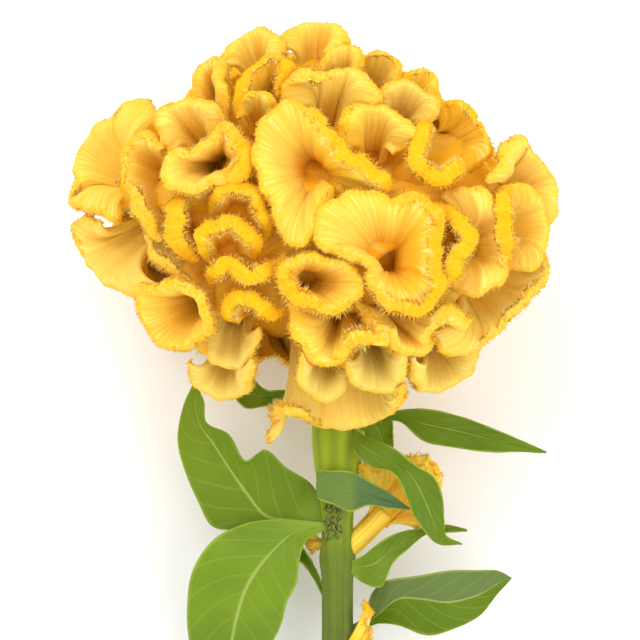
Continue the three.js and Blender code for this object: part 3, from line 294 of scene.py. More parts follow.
# Leaves: ten pointed soft green blades on short stalks from the stem's nodes. Each has a pale midrib with
# side veins that sink into the blade, a waved margin, and a cupped or folded form, drawn by three lines
# from the stem to the tip: the left edge, the midrib and the right edge. The front small one is bluer.
# A leaf's tints are its lightness, its share of a bluish underside's green and the paleness of its margin.
LEAVES = {
    "leaf_left_upper": (
        [(3.5, -84.2, -3), (-9.5, -84.2, -1), (-20.3, -84.8, -1), (-28.4, -84.2, -2), (-32.7, -77, -4),
         (-36.2, -68.9, -6), (-38.1, -60.8, -9), (-36.7, -52.1, -11), (-34, -45.9, -13)],
        [(3.5, -83.4, -3), (-7, -82.6, -2.5), (-14, -81.5, -2.5), (-19.2, -75.3, -3.5), (-24, -68.3, -5),
         (-28.4, -61.6, -7), (-31.9, -56.7, -9), (-33.5, -50.5, -11), (-33.5, -45, -13)],
        [(3.5, -82.6, -3), (-1.8, -72.8, -4), (-8.6, -68.2, -3), (-14.4, -63.4, -2), (-19.5, -66.5, -3),
         (-24.2, -59.3, -5), (-30.4, -56, -8), (-31, -50.5, -10), (-33, -45.9, -13)]),
    "leaf_left_lower": (
        [(3.5, -83.2, -1), (-11.3, -82.1, 2), (-20.3, -83.4, 4), (-28.1, -87.5, 4), (-33.8, -95.9, 2),
         (-35.4, -106.1, -2), (-34.8, -116.1, -8), (-31.6, -125.6, -15), (-26.9, -132.8, -22)],
        [(3.5, -83.7, -1), (-6.8, -86.1, 1), (-12.2, -90.7, 2.5), (-16.7, -96.1, 2.5), (-19.7, -101.5, 1),
         (-21.9, -108.3, -2), (-23.5, -116.1, -7), (-24.8, -125, -14), (-26.4, -133.6, -22)],
        [(3.5, -84.5, -1), (-3.2, -88, 2), (-5.1, -93.7, 4), (-5.7, -99.1, 4), (-8.4, -104.5, 2),
         (-9.7, -109.9, -1), (-12.4, -115.6, -6), (-17.8, -123.4, -13), (-25.8, -132.9, -22)]),
    "leaf_left_small": (
        [(3, -49.4, -6.6), (-4, -50.2, -6.8), (-10.3, -50.8, -7.5), (-15, -51.8, -8), (-19.4, -52.3, -9),
         (-23, -48.9, -10), (-27, -42, -12)],
        [(3, -48.2, -7), (-4, -48.7, -7.2), (-10, -49, -8), (-15, -49.3, -9), (-19, -48, -10),
         (-23, -45, -11), (-27, -41.3, -12)],
        [(3, -47, -6.6), (-4, -47.2, -6.8), (-9.7, -47.4, -7.5), (-14, -47.4, -8.5), (-18.5, -43.5, -9.5),
         (-23, -41, -11), (-26.8, -40.8, -12)]),
    "leaf_left_hidden": (
        [(2.5, -104.2, -3), (-0.3, -96.4, -3.5), (-3, -91.6, -4), (-8, -86.5, -5), (-14.5, -86, -6),
         (-21, -92, -8)],
        [(2.5, -104.7, -3), (-0.8, -97.2, -4), (-4, -92.8, -5), (-9, -89.5, -6), (-15, -89.5, -7),
         (-21.3, -92.3, -8)],
        [(2.5, -105.4, -3), (-1.6, -97.8, -3.5), (-5, -93.6, -4), (-10.5, -93, -5), (-16, -93.5, -6),
         (-21.5, -92.6, -8)]),
    "leaf_right_long": (
        [(9, -59.2, -2), (13.5, -54.8, -1), (21.1, -52.9, 1), (28.9, -52.4, 2), (38.9, -54.5, 2),
         (47.5, -57.8, 1), (54.8, -60.8, -1), (61.6, -63.8, -3)],
        [(9, -59.9, -2), (13.5, -55.9, -1.5), (21.1, -54.3, 0), (28.9, -56.4, 0.5), (38.9, -58.6, 0.5),
         (47.5, -60.8, 0), (55.1, -62.6, -1.5), (61.8, -64.1, -3)],
        [(9, -60.6, -2), (13.5, -57.2, -1.5), (21.6, -55.6, 0), (28.6, -61, 2), (37.8, -62.9, 2),
         (47.3, -64, 1), (54.5, -64, -1), (61.6, -64.4, -3)]),
    "leaf_right_short": (
        [(9, -53, -6), (11.5, -56.5, -6), (13, -60.5, -6.5), (14, -64, -7.5), (15.5, -66.5, -9),
         (17.5, -68, -10)],
        [(9, -52, -6), (13, -54, -6.5), (16, -57.5, -7), (17.5, -61, -8), (18, -64.5, -9),
         (17.8, -67.9, -10)],
        [(9, -51, -6), (15, -51.5, -5.5), (19.8, -54.5, -6), (20.3, -59.4, -7), (20.4, -63, -8.5),
         (18.2, -67.6, -10)]),
    "leaf_right_drooping": (
        [(9.5, -59.6, 1), (9.7, -63.5, 6), (14.3, -67.8, 9), (20, -69.4, 11), (23, -74, 11), (25.4, -80.2, 9),
         (28.4, -84.8, 7), (32.1, -88.6, 5), (38.6, -88.9, 4)],
        [(9.5, -58.6, 1), (11.3, -61.8, 6), (16.7, -65.1, 8.5), (22.7, -67.8, 10), (26.5, -72.4, 10),
         (29.2, -78, 8.5), (31.3, -83.2, 6.5), (33.5, -87.5, 5), (38.8, -88.8, 4)],
        [(9.5, -57.6, 1), (13.5, -59.9, 6), (20, -62.6, 10), (26.5, -67.5, 12), (31.3, -70.7, 11),
         (33.5, -76.1, 9), (34, -82.4, 7), (34.6, -86.4, 5), (38.6, -88.4, 4)]),
    "leaf_front_folded": (
        [(2.5, -73, 0.5), (0, -69, 4), (3.2, -68.9, 5.5), (8.6, -69.1, 6), (13.5, -71.6, 5.5),
         (18.4, -74.3, 4.5), (24.6, -78.9, 3)],
        [(3, -73.4, 0.5), (-0.3, -72.6, 3.2), (3.2, -73.4, 4), (8.6, -74.3, 4.5), (13.5, -75.3, 4),
         (18.4, -77, 3.5), (24.8, -79.2, 3)],
        [(2.5, -74, 0.5), (-0.2, -76.1, 4), (4, -78, 5), (8.6, -79.9, 5.5), (13.5, -78.3, 5.5),
         (18.9, -79.1, 4.5), (24.6, -79.5, 3)]),
    "leaf_right_arching": (
        [(7, -94, -1.5), (11.9, -92.1, 1.5), (15.1, -89.4, 4), (18.9, -86.9, 4), (23.2, -85.3, 1),
         (28.6, -84.5, -1), (34.6, -83.7, -2.5), (40.2, -84.9, -4)],
        [(7, -94.5, -1.5), (12.2, -94.8, 1), (15.7, -93.7, 2.5), (19.7, -90.2, 2.5), (23.8, -87.8, 0.5),
         (28.9, -85.6, -1.5), (34.8, -84.8, -3), (40.4, -85.2, -4)],
        [(7, -95, -1.5), (12.4, -99.4, 1.5), (17, -100.2, 4), (20.3, -93.7, 3.5), (24.6, -89.9, 1),
         (29.4, -86.3, -1), (34.8, -85.8, -2.5), (40.2, -85.6, -4)]),
    "leaf_right_lower": (
        [(7, -112, -4), (12, -109, -5), (14.5, -102.5, -3), (18, -99, 1), (27.5, -97.2, 5), (35.6, -95.9, 4),
         (43.2, -95.9, 1), (48.6, -96.1, -2), (52.1, -98, -6)],
        [(7, -113, -4), (12, -111.3, -5), (15.4, -109, -4), (22, -103.5, 0.5), (28, -103.5, 1.5),
         (35, -104.5, 1), (43.5, -102.5, -1), (48.9, -99.5, -3.5), (52.3, -98.3, -6)],
        [(7, -114, -4), (12, -112.3, -5), (16, -110.6, -4), (21.6, -110.8, 0), (29.7, -113.4, 2),
         (37.3, -111.5, 1), (44, -108, -1), (48.1, -102.9, -3.5), (52.1, -98.6, -6)]),
}
LEAF_SEED = 5
LEAF_TINTS = {
    "leaf_left_upper": (0.08, 0.02, 0.0), "leaf_left_lower": (0.20, 0.10, 0.1),
    "leaf_left_small": (0.0, 0.0, 0.0), "leaf_left_hidden": (-0.2, 0.0, 0.0),
    "leaf_right_long": (-0.05, 0.05, 0.0), "leaf_right_short": (0.2, 0.0, 0.0),
    "leaf_right_drooping": (-0.05, 0.1, 0.2), "leaf_front_folded": (0.0, 0.6, 0.3),
    "leaf_right_arching": (0.0, 0.1, 0.1), "leaf_right_lower": (-0.12, 0.8, 0.0),
}


def seeded_draws(seed, count):
    """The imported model's own draws from 0 to 1, so that waves match it."""
    state, draws = seed, []
    for _ in range(count):
        state = state * 16807 % 2147483647
        draws.append(state / 2147483647)
    return draws


def line_places(points, shares, closed=False):
    """Places on a smooth line through points, at shares of its spans from 0 to 1."""
    points = np.asarray(points, float)
    spans = len(points) if closed else len(points) - 1
    before = points[-1:] if closed else 2 * points[:1] - points[1:2]
    after = points[:2] if closed else 2 * points[-1:] - points[-2:-1]
    line = np.concatenate([before, points, after])
    at = np.clip(shares, 0, 1) * spans
    first = np.minimum(at.astype(int), spans - 1)
    rest = (at - first)[:, None]
    a, b, c, d = (line[first + k] for k in range(4))
    gap_a, gap_b, gap_c = (np.maximum(((q - p) ** 2).sum(1), 1e-12)[:, None] ** 0.25
                           for p, q in ((a, b), (b, c), (c, d)))
    pull_b = ((b - a) / gap_a - (c - a) / (gap_a + gap_b) + (c - b) / gap_b) * gap_b
    pull_c = ((c - b) / gap_b - (d - b) / (gap_b + gap_c) + (d - c) / gap_c) * gap_b
    bend = -3 * b + 3 * c - 2 * pull_b - pull_c
    twist = 2 * b - 2 * c + pull_b + pull_c
    return b + rest * (pull_b + rest * (bend + rest * twist))


def leaf_shape(plan, phases):
    """The blade's middle surface over u, across from edge to edge, and v, from the stem to the tip."""
    def shape(u, v):
        side = 2 * u - 1
        left, rib, right = (line_places(line, v) for line in plan)
        place = mix(rib, np.where(side[:, None] < 0, left, right), np.abs(side)[:, None])
        grown = np.sin(np.pi * v)
        phase = np.where(side < 0, *phases)
        wave = 0.8 * np.sin(v * 6 * np.pi + phase) * side ** 2
        fine_wave = 0.22 * np.sin(v * 21 * np.pi + 2 * phase) * side ** 4
        sag = np.abs(side) - side ** 2
        vein = v * 9 - 1.9 * np.abs(side)
        sunk = 0.16 * np.exp(-((vein % 1 - 0.5) / 0.10) ** 2) * smooth_step((1 - np.abs(side)) * 4)
        rib_sunk = 0.22 * np.exp(-(side / 0.07) ** 2)
        place[:, 2] += (wave + fine_wave - sag - sunk) * grown - rib_sunk * smooth_step(grown * 3)
        return place, {"side": side, "along": v, "vein": vein}
    return shape


def leaf_finish(name, light, blue, pale_edge, folded, creased):
    """Leaf green, lighter along the midrib, the side veins and the margin."""
    look = Finish(name, 0.5, 0.15, 0.1)
    side, vein, along = (look.value(key) for key in ("side", "vein", "along"))
    from_rib = look.worked("ABSOLUTE", side)
    deep, fresh, under = (tuple(part * (1 + light) for part in colour) for colour in (
        (0.062, 0.130, 0.004), (0.185, 0.290, 0.005), (0.145, 0.215, 0.065)))
    is_under = look.worked("LESS_THAN", side, 0) if folded else 1.0
    to_vein = look.worked("ABSOLUTE", look.worked("SUBTRACT", look.worked("FRACT", vein), 0.5))
    rib_share = 0.1 if creased else 0.65
    look.coloured(look.painted(
        deep, (fresh, look.grain(42, 3)), (under, is_under, blue),
        ((0.095, 0.170, 0.055), look.steps(along, (0.50, 0), (0.58, 1)), float(creased)),
        ((0.33, 0.47, 0.08), look.steps(to_vein, (0.0, 1), (0.03, 0.6), (0.08, 0)), 0.20),
        ((0.46, 0.52, 0.16), look.steps(from_rib, (0.0, 1), (0.025, 0.5), (0.055, 0)), rib_share),
        ((0.38, 0.50, 0.05), look.steps(from_rib, (0.93, 0), (1.0, 1)), 0.45 + pale_edge),
        ((0.36, 0.48, 0.06), look.steps(along, (0.0, 1), (0.14, 0)), 0.5)))
    look.raised(look.grain(1300, 2), 0.00015, 0.35)
    return look


for number, (name, plan) in enumerate(LEAVES.items()):
    phases = [draw * 2 * np.pi for draw in seeded_draws(LEAF_SEED + number, 2)]
    is_blue = name == "leaf_front_folded"
    look = leaf_finish(name + "_green", *LEAF_TINTS[name], folded=name == "leaf_right_lower", creased=is_blue)
    blade = grown_sheet(28, 84, leaf_shape(plan, phases))
    leaf = piece_of("blade_" + name, [blade], look, "blue_leaf" if is_blue else "leaf", name)
    body = leaf.modifiers.new("blade", "SOLIDIFY")
    body.thickness = 0.00045
    body.offset = 0


# Flower head: a crest of many thin fleshy folds, each rising from a throat in the head's heart and opening
# to a wavy rim. A rim is a velvety band of packed florets 3 to 6 mm wide, fringed with pale bristles, and
# its flanks are finely pleated, pale near the band and darkened to brown-orange towards the throat, which
# is painted shade of the deep throat. The front folds are traced one by one from a throat (x, y, z) to a
# rim (x, y), whose height follows the head's outline. Lift raises a rim, dip lowers its two ends, rise
# curves its flank, heavy points to the band's broad side, the throat shade lift lightens the painted shade
# in its throat towards the colour of its flank, ribbon is a band with no plain lip, and pale washes a fold
# with cream, and past a half with a pale green that is partly the fold's own colour and partly painted
# shade, darker than the cream.
FRONT_FOLDS = {
    "upper_disc": dict(throat=[(0, 11.5, 20)], lift=3, rise=1.8, pale=0.35, throat_shade_lift=0.1, heavy=(1, 0.2),
        rim=[(4.5, 7.5), (3, 4), (1.5, 0), (-1, -5), (-4.5, -8), (-8.5, -7), (-10, -3), (-11.5, 1),
         (-14.5, 7.5), (-16.5, 15.5), (-14.5, 23.5), (-8.5, 28.5), (-2, 26.5), (3, 20.5), (8, 15),
         (13.5, 11.5), (18, 7.5), (19, 1)]),
    "trumpet": dict(throat=[(18, -14, 20)], lift=4, width=5.2, rise=1.8, pale=0.35, throat_shade_lift=0.1,
        heavy=(1, -0.1), closed=True,
        rim=[(14.5, -19.5), (14, -15), (9, -11.5), (2.5, -9.5), (-0.5, -5.5), (1, 0.5), (7, 4), (14, 5),
         (19, 2.5), (23.5, 4), (28, 3), (31.5, 0), (32, -4.5), (31, -9.5), (31.5, -15.5), (32, -20),
         (29.5, -24.5), (24.5, -26), (19, -24)]),
    "middle_ruffle": dict(throat=[(14, 14.5, 22)], width=4.6, rise=4, pale=0.35, throat_shade_lift=0.35,
        heavy=(-1, -0.3),
        rim=[(5.5, 17), (5.5, 22), (7.5, 26.5), (12, 28.5), (17.5, 27.5), (22.5, 25), (25.5, 21.5),
         (24.5, 18.5), (21, 17.5)]),
    "pale_fan": dict(throat=[(22.5, 23.5, 20)], lift=1, width=4, rise=4, pale=0.6, throat_shade_lift=0.4,
        rim=[(16, 28.5), (16.5, 32.5), (20, 34.5), (25, 34), (29, 31.5), (32, 28), (29.5, 24)]),
    "hook": dict(throat=[(23, 9, 22)], width=4.8, rise=1.6, throat_shade_lift=0.15, ribbon=1,
        rim=[(32, 28), (28.5, 23), (26, 17.5), (27, 12), (31, 9), (35.5, 10.5), (39.5, 13), (41.5, 16.5)]),
    "right_back_sheet": dict(throat=[(31, 17.5, 6)], lift=-8, width=3.4, pale=0.05, throat_shade_lift=0.35,
        rim=[(32.5, 34), (37, 31), (40.5, 28), (41.5, 25), (44, 23), (45.5, 18.5), (45, 14.5), (42, 11.5)]),
    "shoulder_knob": dict(throat=[(25, 29, 14)], lift=-2, width=4, rise=4, pale=0.1,
        rim=[(21, 38), (25, 39), (29.5, 37.5), (32.5, 34.5), (33, 31)]),
    "crown_fan": dict(throat=[(2, 25.5, 24)], lift=1, rise=4, pale=0.4, throat_shade_lift=0.45,
        rim=[(-8.5, 31), (-9, 35), (-5, 36.5), (2, 36.5), (8.5, 38), (13.5, 35), (16, 30.5), (15.5, 25.5)]),
    "top_middle_lobe": dict(throat=[(-1.5, 32, 12)], lift=-2, rise=4, dip=3, pale=0.35,
        rim=[(-12.5, 46), (-9, 48.5), (-5, 50), (-1, 51), (3.5, 50.5), (7, 49), (6.5, 45.5), (3.5, 43)]),
    "top_right_fan": dict(throat=[(7.5, 31, 18)], rise=4, pale=0.35,
        rim=[(0, 37), (1, 40.5), (4.5, 43.5), (9, 44.5), (11.5, 42), (12, 38.5)]),
    "right_shoulder": dict(throat=[(14.5, 30, 12)], lift=-3, rise=4,
        rim=[(9, 44.5), (14, 44), (18.5, 42), (22, 39), (23, 35)]),
    "top_left_fan": dict(throat=[(-13.5, 31.5, 12)], lift=-3, rise=4, dip=2, pale=0.4,
        rim=[(-27.5, 38), (-26, 41.5), (-23.5, 44.5), (-20, 47.5), (-15.5, 49.5), (-12.5, 48.5), (-10, 45),
         (-11.5, 42)]),
    "left_arc": dict(throat=[(-13.5, 29, 20)], width=5.6, rise=4, throat_shade_lift=0.4, ribbon=1,
        rim=[(-23, 28.5), (-21.5, 33), (-18, 37.5), (-15, 40.5), (-11.5, 41.5), (-7.5, 40), (-9.5, 36),
         (-9, 32.5)]),
    "inner_arc": dict(throat=[(-17, 25, 22)], width=4.4, rise=4, pale=0.2, throat_shade_lift=0.4,
        rim=[(-23, 28), (-21, 31), (-17.5, 32), (-14, 31), (-11.5, 28), (-13.5, 25)]),
    "left_shoulder": dict(throat=[(-28.5, 28, 12)], lift=-2, rise=4, pale=0.35,
        rim=[(-35, 31), (-34, 35), (-31, 39), (-27.5, 41.5), (-26, 37.5), (-26, 32.5), (-26.5, 27.5)]),
    "left_small_fan": dict(throat=[(-32, 18, 17)], width=4.2, rise=4, pale=0.5,
        rim=[(-41.5, 17.5), (-43, 23), (-41, 27.5), (-35.5, 29.5), (-30, 29.5), (-26.5, 26.5), (-25.5, 23)]),
    "left_cup": dict(throat=[(-26, 14, 18)], lift=1, width=5.4, rise=1.5, pale=0.5, throat_shade_lift=0.3,
        heavy=(1, 0), closed=True,
        rim=[(-25.5, 22.5), (-22, 20), (-19, 16.5), (-18.5, 13), (-20, 10.5), (-25, 9), (-29.5, 7.5),
         (-34.5, 6), (-39.5, 7.5), (-41, 11.5), (-38.5, 15), (-33, 16), (-28.5, 18.5)]),
    "middle_left_arch": dict(throat=[(-22, -1, 22)], width=4.8, rise=2.4, throat_shade_lift=0.15, ribbon=1,
        rim=[(-30.5, -0.5), (-28.5, 4), (-25, 6.5), (-20, 7), (-16, 4.5), (-14, 0), (-13.5, -5),
         (-15, -8.5)]),
    "left_band": dict(throat=[(-31, -3, 15)], width=6, rise=2.4, pale=0.4, throat_shade_lift=0.4, ribbon=1,
        rim=[(-38.5, 8), (-38, 1), (-38, -5), (-37, -10.5), (-34, -14.5)]),
    "arch_band": dict(throat=[(-24, -11.5, 18)], lift=1, rise=2.4, throat_shade_lift=0.15, ribbon=1,
        rim=[(-30, -15), (-31.5, -10.5), (-31, -6), (-28, -3.5), (-24, -2.5), (-19.5, -4), (-17, -7),
         (-16.5, -10.5), (-18, -14)]),
    "wave_band": dict(throat=[(-26, -17.5, 17), (-17, -14, 20), (-9.5, -16.5, 21)], lift=1, width=4.6,
        rise=2.4, throat_shade_lift=0.15, ribbon=1,
        rim=[(-31, -21), (-29.5, -17.5), (-27, -15), (-24, -14), (-21, -15.5), (-17.5, -17), (-14, -16),
         (-10.5, -14), (-9, -11.5)]),
    "middle_loop": dict(throat=[(-4.5, -17.5, 21)], lift=2, width=4.8, rise=1.3, throat_shade_lift=0.3,
        heavy=(-0.7, -0.7), closed=True,
        rim=[(-9, -18), (-8, -14), (-4.5, -12), (1, -12.5), (6.5, -14), (11, -17.5), (10.5, -21), (6.5, -25),
         (1, -25), (-4, -23), (-7.5, -21)]),
    "low_left_cup": dict(throat=[(-35.5, -28, 10)], lift=1, rise=1.4, throat_shade_lift=0.3, heavy=(0.9, 0.4),
        closed=True,
        rim=[(-48, -21), (-43, -20), (-37.5, -19), (-33, -20.5), (-30.5, -24.5), (-29, -28.5), (-30, -32),
         (-34, -34.5), (-38.5, -36), (-43.5, -33.5), (-46.5, -28)]),
    "low_arch": dict(throat=[(-18.5, -29, 14)], lift=-1, width=4.8, rise=2.4, throat_shade_lift=0.15, ribbon=1,
        rim=[(-23, -33), (-25, -28.5), (-24, -24.5), (-21, -22.5), (-17.5, -22.5), (-14.5, -25.5),
         (-11.5, -28.5), (-8, -28.5)]),
    "low_left_fan": dict(throat=[(-25, -30, 10)], lift=-1, width=3.6, pale=0.95,
        rim=[(-34, -35), (-29.5, -38.5), (-24, -41), (-19.5, -40.5), (-17.5, -37.5), (-17, -34)]),
    "low_middle_fold": dict(throat=[(7.5, -29, 17)], lift=2, width=4.8, rise=2.4, throat_shade_lift=0.15,
        rim=[(-8.5, -26.5), (-6, -31.5), (-3.5, -35.5), (-1, -39), (4, -40), (6, -37.5), (8.5, -34.5),
         (12.5, -33), (16, -33.5), (19.5, -36), (22, -38.5)]),
    "low_right_fold": dict(throat=[(18, -28, 16), (32.5, -30, 8)], width=4.8, rise=2.4, pale=0.4,
        throat_shade_lift=0.4,
        rim=[(10.5, -26.5), (13.5, -29.5), (18, -32), (21, -35.5), (24.5, -37.5), (28.5, -36.5), (29, -32.5),
         (31, -29), (35, -26.5), (38.5, -28), (40, -31), (39.5, -35.5)]),
    "bottom_left_lobe": dict(throat=[(-24.5, -29, 3)], lift=4, width=3.4, dip=2, pale=0.8,
        rim=[(-35.5, -41), (-32.5, -46), (-27.5, -49), (-22.5, -49), (-19, -47), (-18, -44), (-18, -40)]),
    "bottom_middle_lobe": dict(throat=[(2, -30, 8)], lift=9, width=3.4, pale=0.9,
        rim=[(-5, -40.5), (-4.5, -44.5), (-2, -48), (2, -49.5), (6.5, -49), (9, -46)]),
    "bottom_right_fan": dict(throat=[(13.5, -29.5, 10)], lift=8, width=3.8, pale=0.95,
        rim=[(5.5, -42.5), (9.5, -45), (16.5, -47.5), (21.5, -45.5), (23.5, -42), (24.5, -39)]),
    "skirt": dict(throat=[(-3, -30, 6), (4, -30, 8), (15.5, -30, 6)], lift=10, width=3.6, rise=2.4, dip=0,
        pale=0.65,
        rim=[(-13.5, -61.5), (-12, -56), (-8.5, -52.5), (-4, -54), (1.5, -57), (8.5, -57.5), (14, -56),
         (19.5, -53), (22, -49), (22, -45.5)]),
    "bottom_far_right_lobe": dict(throat=[(31.5, -28, 0)], lift=3, width=3.6, dip=2, pale=0.7,
        rim=[(25, -39.5), (25.5, -44.5), (28, -47), (31.5, -47.5), (35.5, -46), (39, -44), (42, -40.5),
         (43.5, -36.5)]),
    "right_fan": dict(throat=[(40, -11, 6)], lift=-1, width=4.2, pale=0.5, throat_shade_lift=0.3,
        rim=[(35, 5), (39.5, 6.5), (44.5, 5), (47.5, 2), (49, -3), (49.5, -9), (50, -14), (48, -18.5),
         (44, -20.5), (40.5, -22.5), (37, -22)]),
    "far_right_top": dict(throat=[(38, -2, 2)], lift=-2, width=3.4, dip=2, pale=0.45, throat_shade_lift=0.4,
        rim=[(46, 8), (48.5, 12.5), (50, 18), (52.5, 20), (55.5, 19.5), (57, 16.5), (60, 13), (63, 9),
         (64, 4), (63, -2), (61.5, -6)]),
    "far_right_fan": dict(throat=[(42, -4.5, 4)], width=4.4, pale=0.4,
        rim=[(51, 6), (55, 7.5), (58.5, 4.5), (60.5, 0), (61, -5), (60, -10.5), (57.5, -15), (53.5, -17.5)]),
    "far_right_low": dict(throat=[(37.5, -12.5, 0)], width=3.4, rise=2.4, dip=4, pale=0.6,
        rim=[(62.5, -8.5), (62.5, -12.5), (61, -16.5), (58, -20.5), (54, -24.5), (50, -28.5), (47, -32),
         (43, -35.5), (38.5, -37.5), (34, -37), (31, -34)]),
    "left_wing_top": dict(throat=[(-39.5, 1.5, 0)], lift=-8, width=3.2, dip=1, pale=0.35, throat_shade_lift=0.3,
        rim=[(-42.5, 26.5), (-45, 28.5), (-47.5, 30.5), (-51.5, 29.5), (-56, 25.5), (-59.5, 24),
         (-62.5, 19.5), (-65, 15.5), (-65.5, 12), (-64.5, 9.5), (-66, 7), (-66.5, 3.5), (-62.5, 1.8),
         (-58.5, 0.5), (-54, -1.5)]),
    "left_wing_low": dict(throat=[(-39.5, 0.5, 0)], lift=-8, width=3.2, dip=1, pale=0.6, throat_shade_lift=0.3,
        rim=[(-59, -2), (-66, -3), (-65.5, -6), (-63.5, -10), (-61, -14), (-58, -17.5), (-54, -20),
         (-49, -21.5), (-45, -21.5), (-41, -20)]),
    "left_web": dict(throat=[(-33, -6, 8)], lift=-7, width=3.4, dip=3, pale=0.8,
        rim=[(-48, -6), (-45, -10), (-41.5, -13), (-38, -16.5), (-35, -19)]),
    "left_ear": dict(throat=[(-38, 10, 8), (-37, -2, 8)], lift=-2, width=4.6, dip=3, pale=0.5, throat_shade_lift=0.6,
        ribbon=0.4,
        rim=[(-42, 18.5), (-45.5, 21), (-49.5, 19.5), (-51.8, 15), (-51.5, 10), (-49.5, 5.5), (-47, 1),
         (-45, -4), (-43, -8)]),
    "right_arm": dict(throat=[(41, -8, 8), (40, -14, 8)], lift=1.5, width=5.6, rise=2.4, throat_shade_lift=0.15,
        ribbon=1,
        rim=[(33, 2.5), (35.5, 0.5), (38.5, -3), (40, -7), (37.5, -11.5), (35.5, -15), (35.5, -19),
         (37.5, -22.5)]),
    "far_right_arm": dict(throat=[(46, -5, 6)], lift=2, rise=2.4, dip=4, throat_shade_lift=0.15, ribbon=1,
        rim=[(53, 7.5), (50.5, 5), (49, 0), (49.5, -5), (50.5, -10), (53.5, -13.5)]),
}
USUAL_FOLD = dict(lift=0, width=5, rise=3, dip=7, pale=0.3, throat_shade_lift=0.5, ribbon=0, heavy=None, closed=False,
                  thickness=2.4, wave=0.45)
HEAD_HALF = np.array([70, 56])
HEAD_FRONT_DEPTH = 48
HEAD_BACK_DEPTH = 49
CORE_SHARE = 0.62
LOBE_GAPS = ((-12, -42.8, 2.7, 4.0, 0), (-42.7, -15, 0.9, 3.6, 50))
FLANK_ROWS = 9
BAND_ROWS = 12
BAND_SWING = 1.62
FOLD_SEED = 11
FOLD_SEED_STEP = 7
BACK_SEED = 41
BACK_LOOPS = 12
BACK_LOOPS_RISE = 1.154


def front_height(x, y):
    level = np.hypot(x / HEAD_HALF[0], y / HEAD_HALF[1])
    return HEAD_FRONT_DEPTH * np.sqrt(np.maximum(0, 1 - level ** 2.4))


def unit(vectors):
    return vectors / np.maximum(np.linalg.norm(vectors, axis=-1, keepdims=True), 1e-9)


def dot(a, b):
    return (a * b).sum(-1, keepdims=True)


def outward(places):
    depth = np.where(places[:, 2] > 0, HEAD_FRONT_DEPTH, HEAD_BACK_DEPTH)
    return unit(places / np.column_stack(np.broadcast_arrays(*HEAD_HALF, depth)) ** 2)


def rooted(place):
    """A throat is drawn inside the head's heart."""
    place = np.asarray(place, float)
    depth = HEAD_FRONT_DEPTH if place[2] > 0 else HEAD_BACK_DEPTH
    level = np.linalg.norm(place / (*HEAD_HALF, depth)) / CORE_SHARE
    return place * min(1, 0.9 / level)


def nearest_on(line, places):
    """The nearest place on a short line to each place."""
    best = np.repeat(line[:1], len(places), 0)
    for start, end in zip(line, line[1:]):
        share = np.clip(dot(places - start, end - start) / dot(end - start, end - start), 0, 1)
        there = start + share * (end - start)
        closer = np.linalg.norm(there - places, axis=1) < np.linalg.norm(best - places, axis=1)
        best[closer] = there[closer]
    return best


def clear_of_gaps(places, middle):
    """Moves what stands in a see-through gap: back folds upward, front ones to their own side."""
    for x, y, half_width, half_height, turn in LOBE_GAPS:
        c, s = math.cos(math.radians(turn)), math.sin(math.radians(turn))
        across = (places[:, 0] - x) * c + (places[:, 1] - y) * s
        up = -(places[:, 0] - x) * s + (places[:, 1] - y) * c
        side = np.sign((middle[0] - x) * c + (middle[1] - y) * s)
        reach = half_width * np.sqrt(np.maximum(0, 1 - (up / half_height) ** 2))
        if middle[2] < 0:
            top = (half_height + 1) * np.sqrt(np.maximum(0, 1 - (across / (half_width + 2)) ** 2))
            up = np.where((np.abs(across) < half_width + 2) & (up > -half_height - 6) & (top > up), top, up)
        else:
            near = (np.abs(across) < 3 * half_width) & (np.abs(up) < half_height)
            across = np.where(near & (side * across < reach), side * reach, across)
        places[:, 0] = x + across * c - up * s
        places[:, 1] = y + across * s + up * c
    return places


def rim_of(fold, seed, spacing):
    """Closely set stations along a fold's rim, each with its throat and its local directions."""
    closed = fold["closed"]
    spread = np.linspace(0, 1, 201)
    rough = line_places(fold["rim"], spread, closed)
    lengths = np.concatenate([[0], np.cumsum(np.linalg.norm(np.diff(rough, axis=0), axis=1))])
    length = lengths[-1]
    count = max(24, round(length / spacing))
    share = np.arange(count + 1) / count
    rim = line_places(fold["rim"], np.interp(share * length, lengths, spread), closed)
    phase, lean, *phases = (draw * 2 * np.pi for draw in seeded_draws(seed, 12))

    def change(values, step):
        """How values change over the stations from a step before to a step after each one."""
        ends = np.arange(count + 1)[:, None] + (-step, step)
        ends = ends % count if closed else np.clip(ends, 0, count)
        return values[ends[:, 1]] - values[ends[:, 0]]

    along = unit(change(rim, max(1, round(1.5 / spacing))))
    wide_step = max(1, round(3.3 / spacing))
    bend = change(along, wide_step) / (2 * wide_step * length / count)
    out = outward(rim)
    waves = max(1, int(length / 9 + 0.5))
    small_waves = max(2, int(length / 3.7 + 0.5))
    rim = rim + unit(np.cross(out, along)) * (
        fold["wave"] * np.sin(share * waves * 2 * np.pi + phase)
        + 0.12 * np.sin(share * small_waves * 2 * np.pi + lean))[:, None]
    from_end = np.where(closed, 99, np.minimum(share, 1 - share) * length)[:, None]
    fade = smooth_step(from_end / 8)
    near_end = np.clip(from_end / 2.2, 0, 1)
    rim = rim - out * (fold["dip"] * (1 - fade))
    throat = nearest_on(np.asarray(fold["throat"], float), rim)
    width, ribbon = np.full((count + 1, 1), fold["width"]), np.full((count + 1, 1), fold["ribbon"])
    if fold["heavy"] is not None:
        heavy = smooth_step(0.5 + 0.5 * dot(unit((rim - throat)[:, :2]), unit(np.array(fold["heavy"]))))
        width, ribbon = width * mix(0.55, 1, heavy), heavy ** 1.5
    return SimpleNamespace(
        rim=rim, along=along, out=out, bend=bend, throat=throat, axis=unit((rim - throat)[:count].sum(0)),
        share=share, width=width, ribbon=ribbon, fade=fade, taper=np.sqrt(near_end * (2 - near_end)),
        length=length, phases=phases, rise=fold["rise"])


def at_stations(line, at):
    """The line with what it holds for each station taken at the given ones."""
    taken = {name: value[at] for name, value in vars(line).items() if np.shape(value)[:1] == line.share.shape}
    return SimpleNamespace(**{**vars(line), **taken})


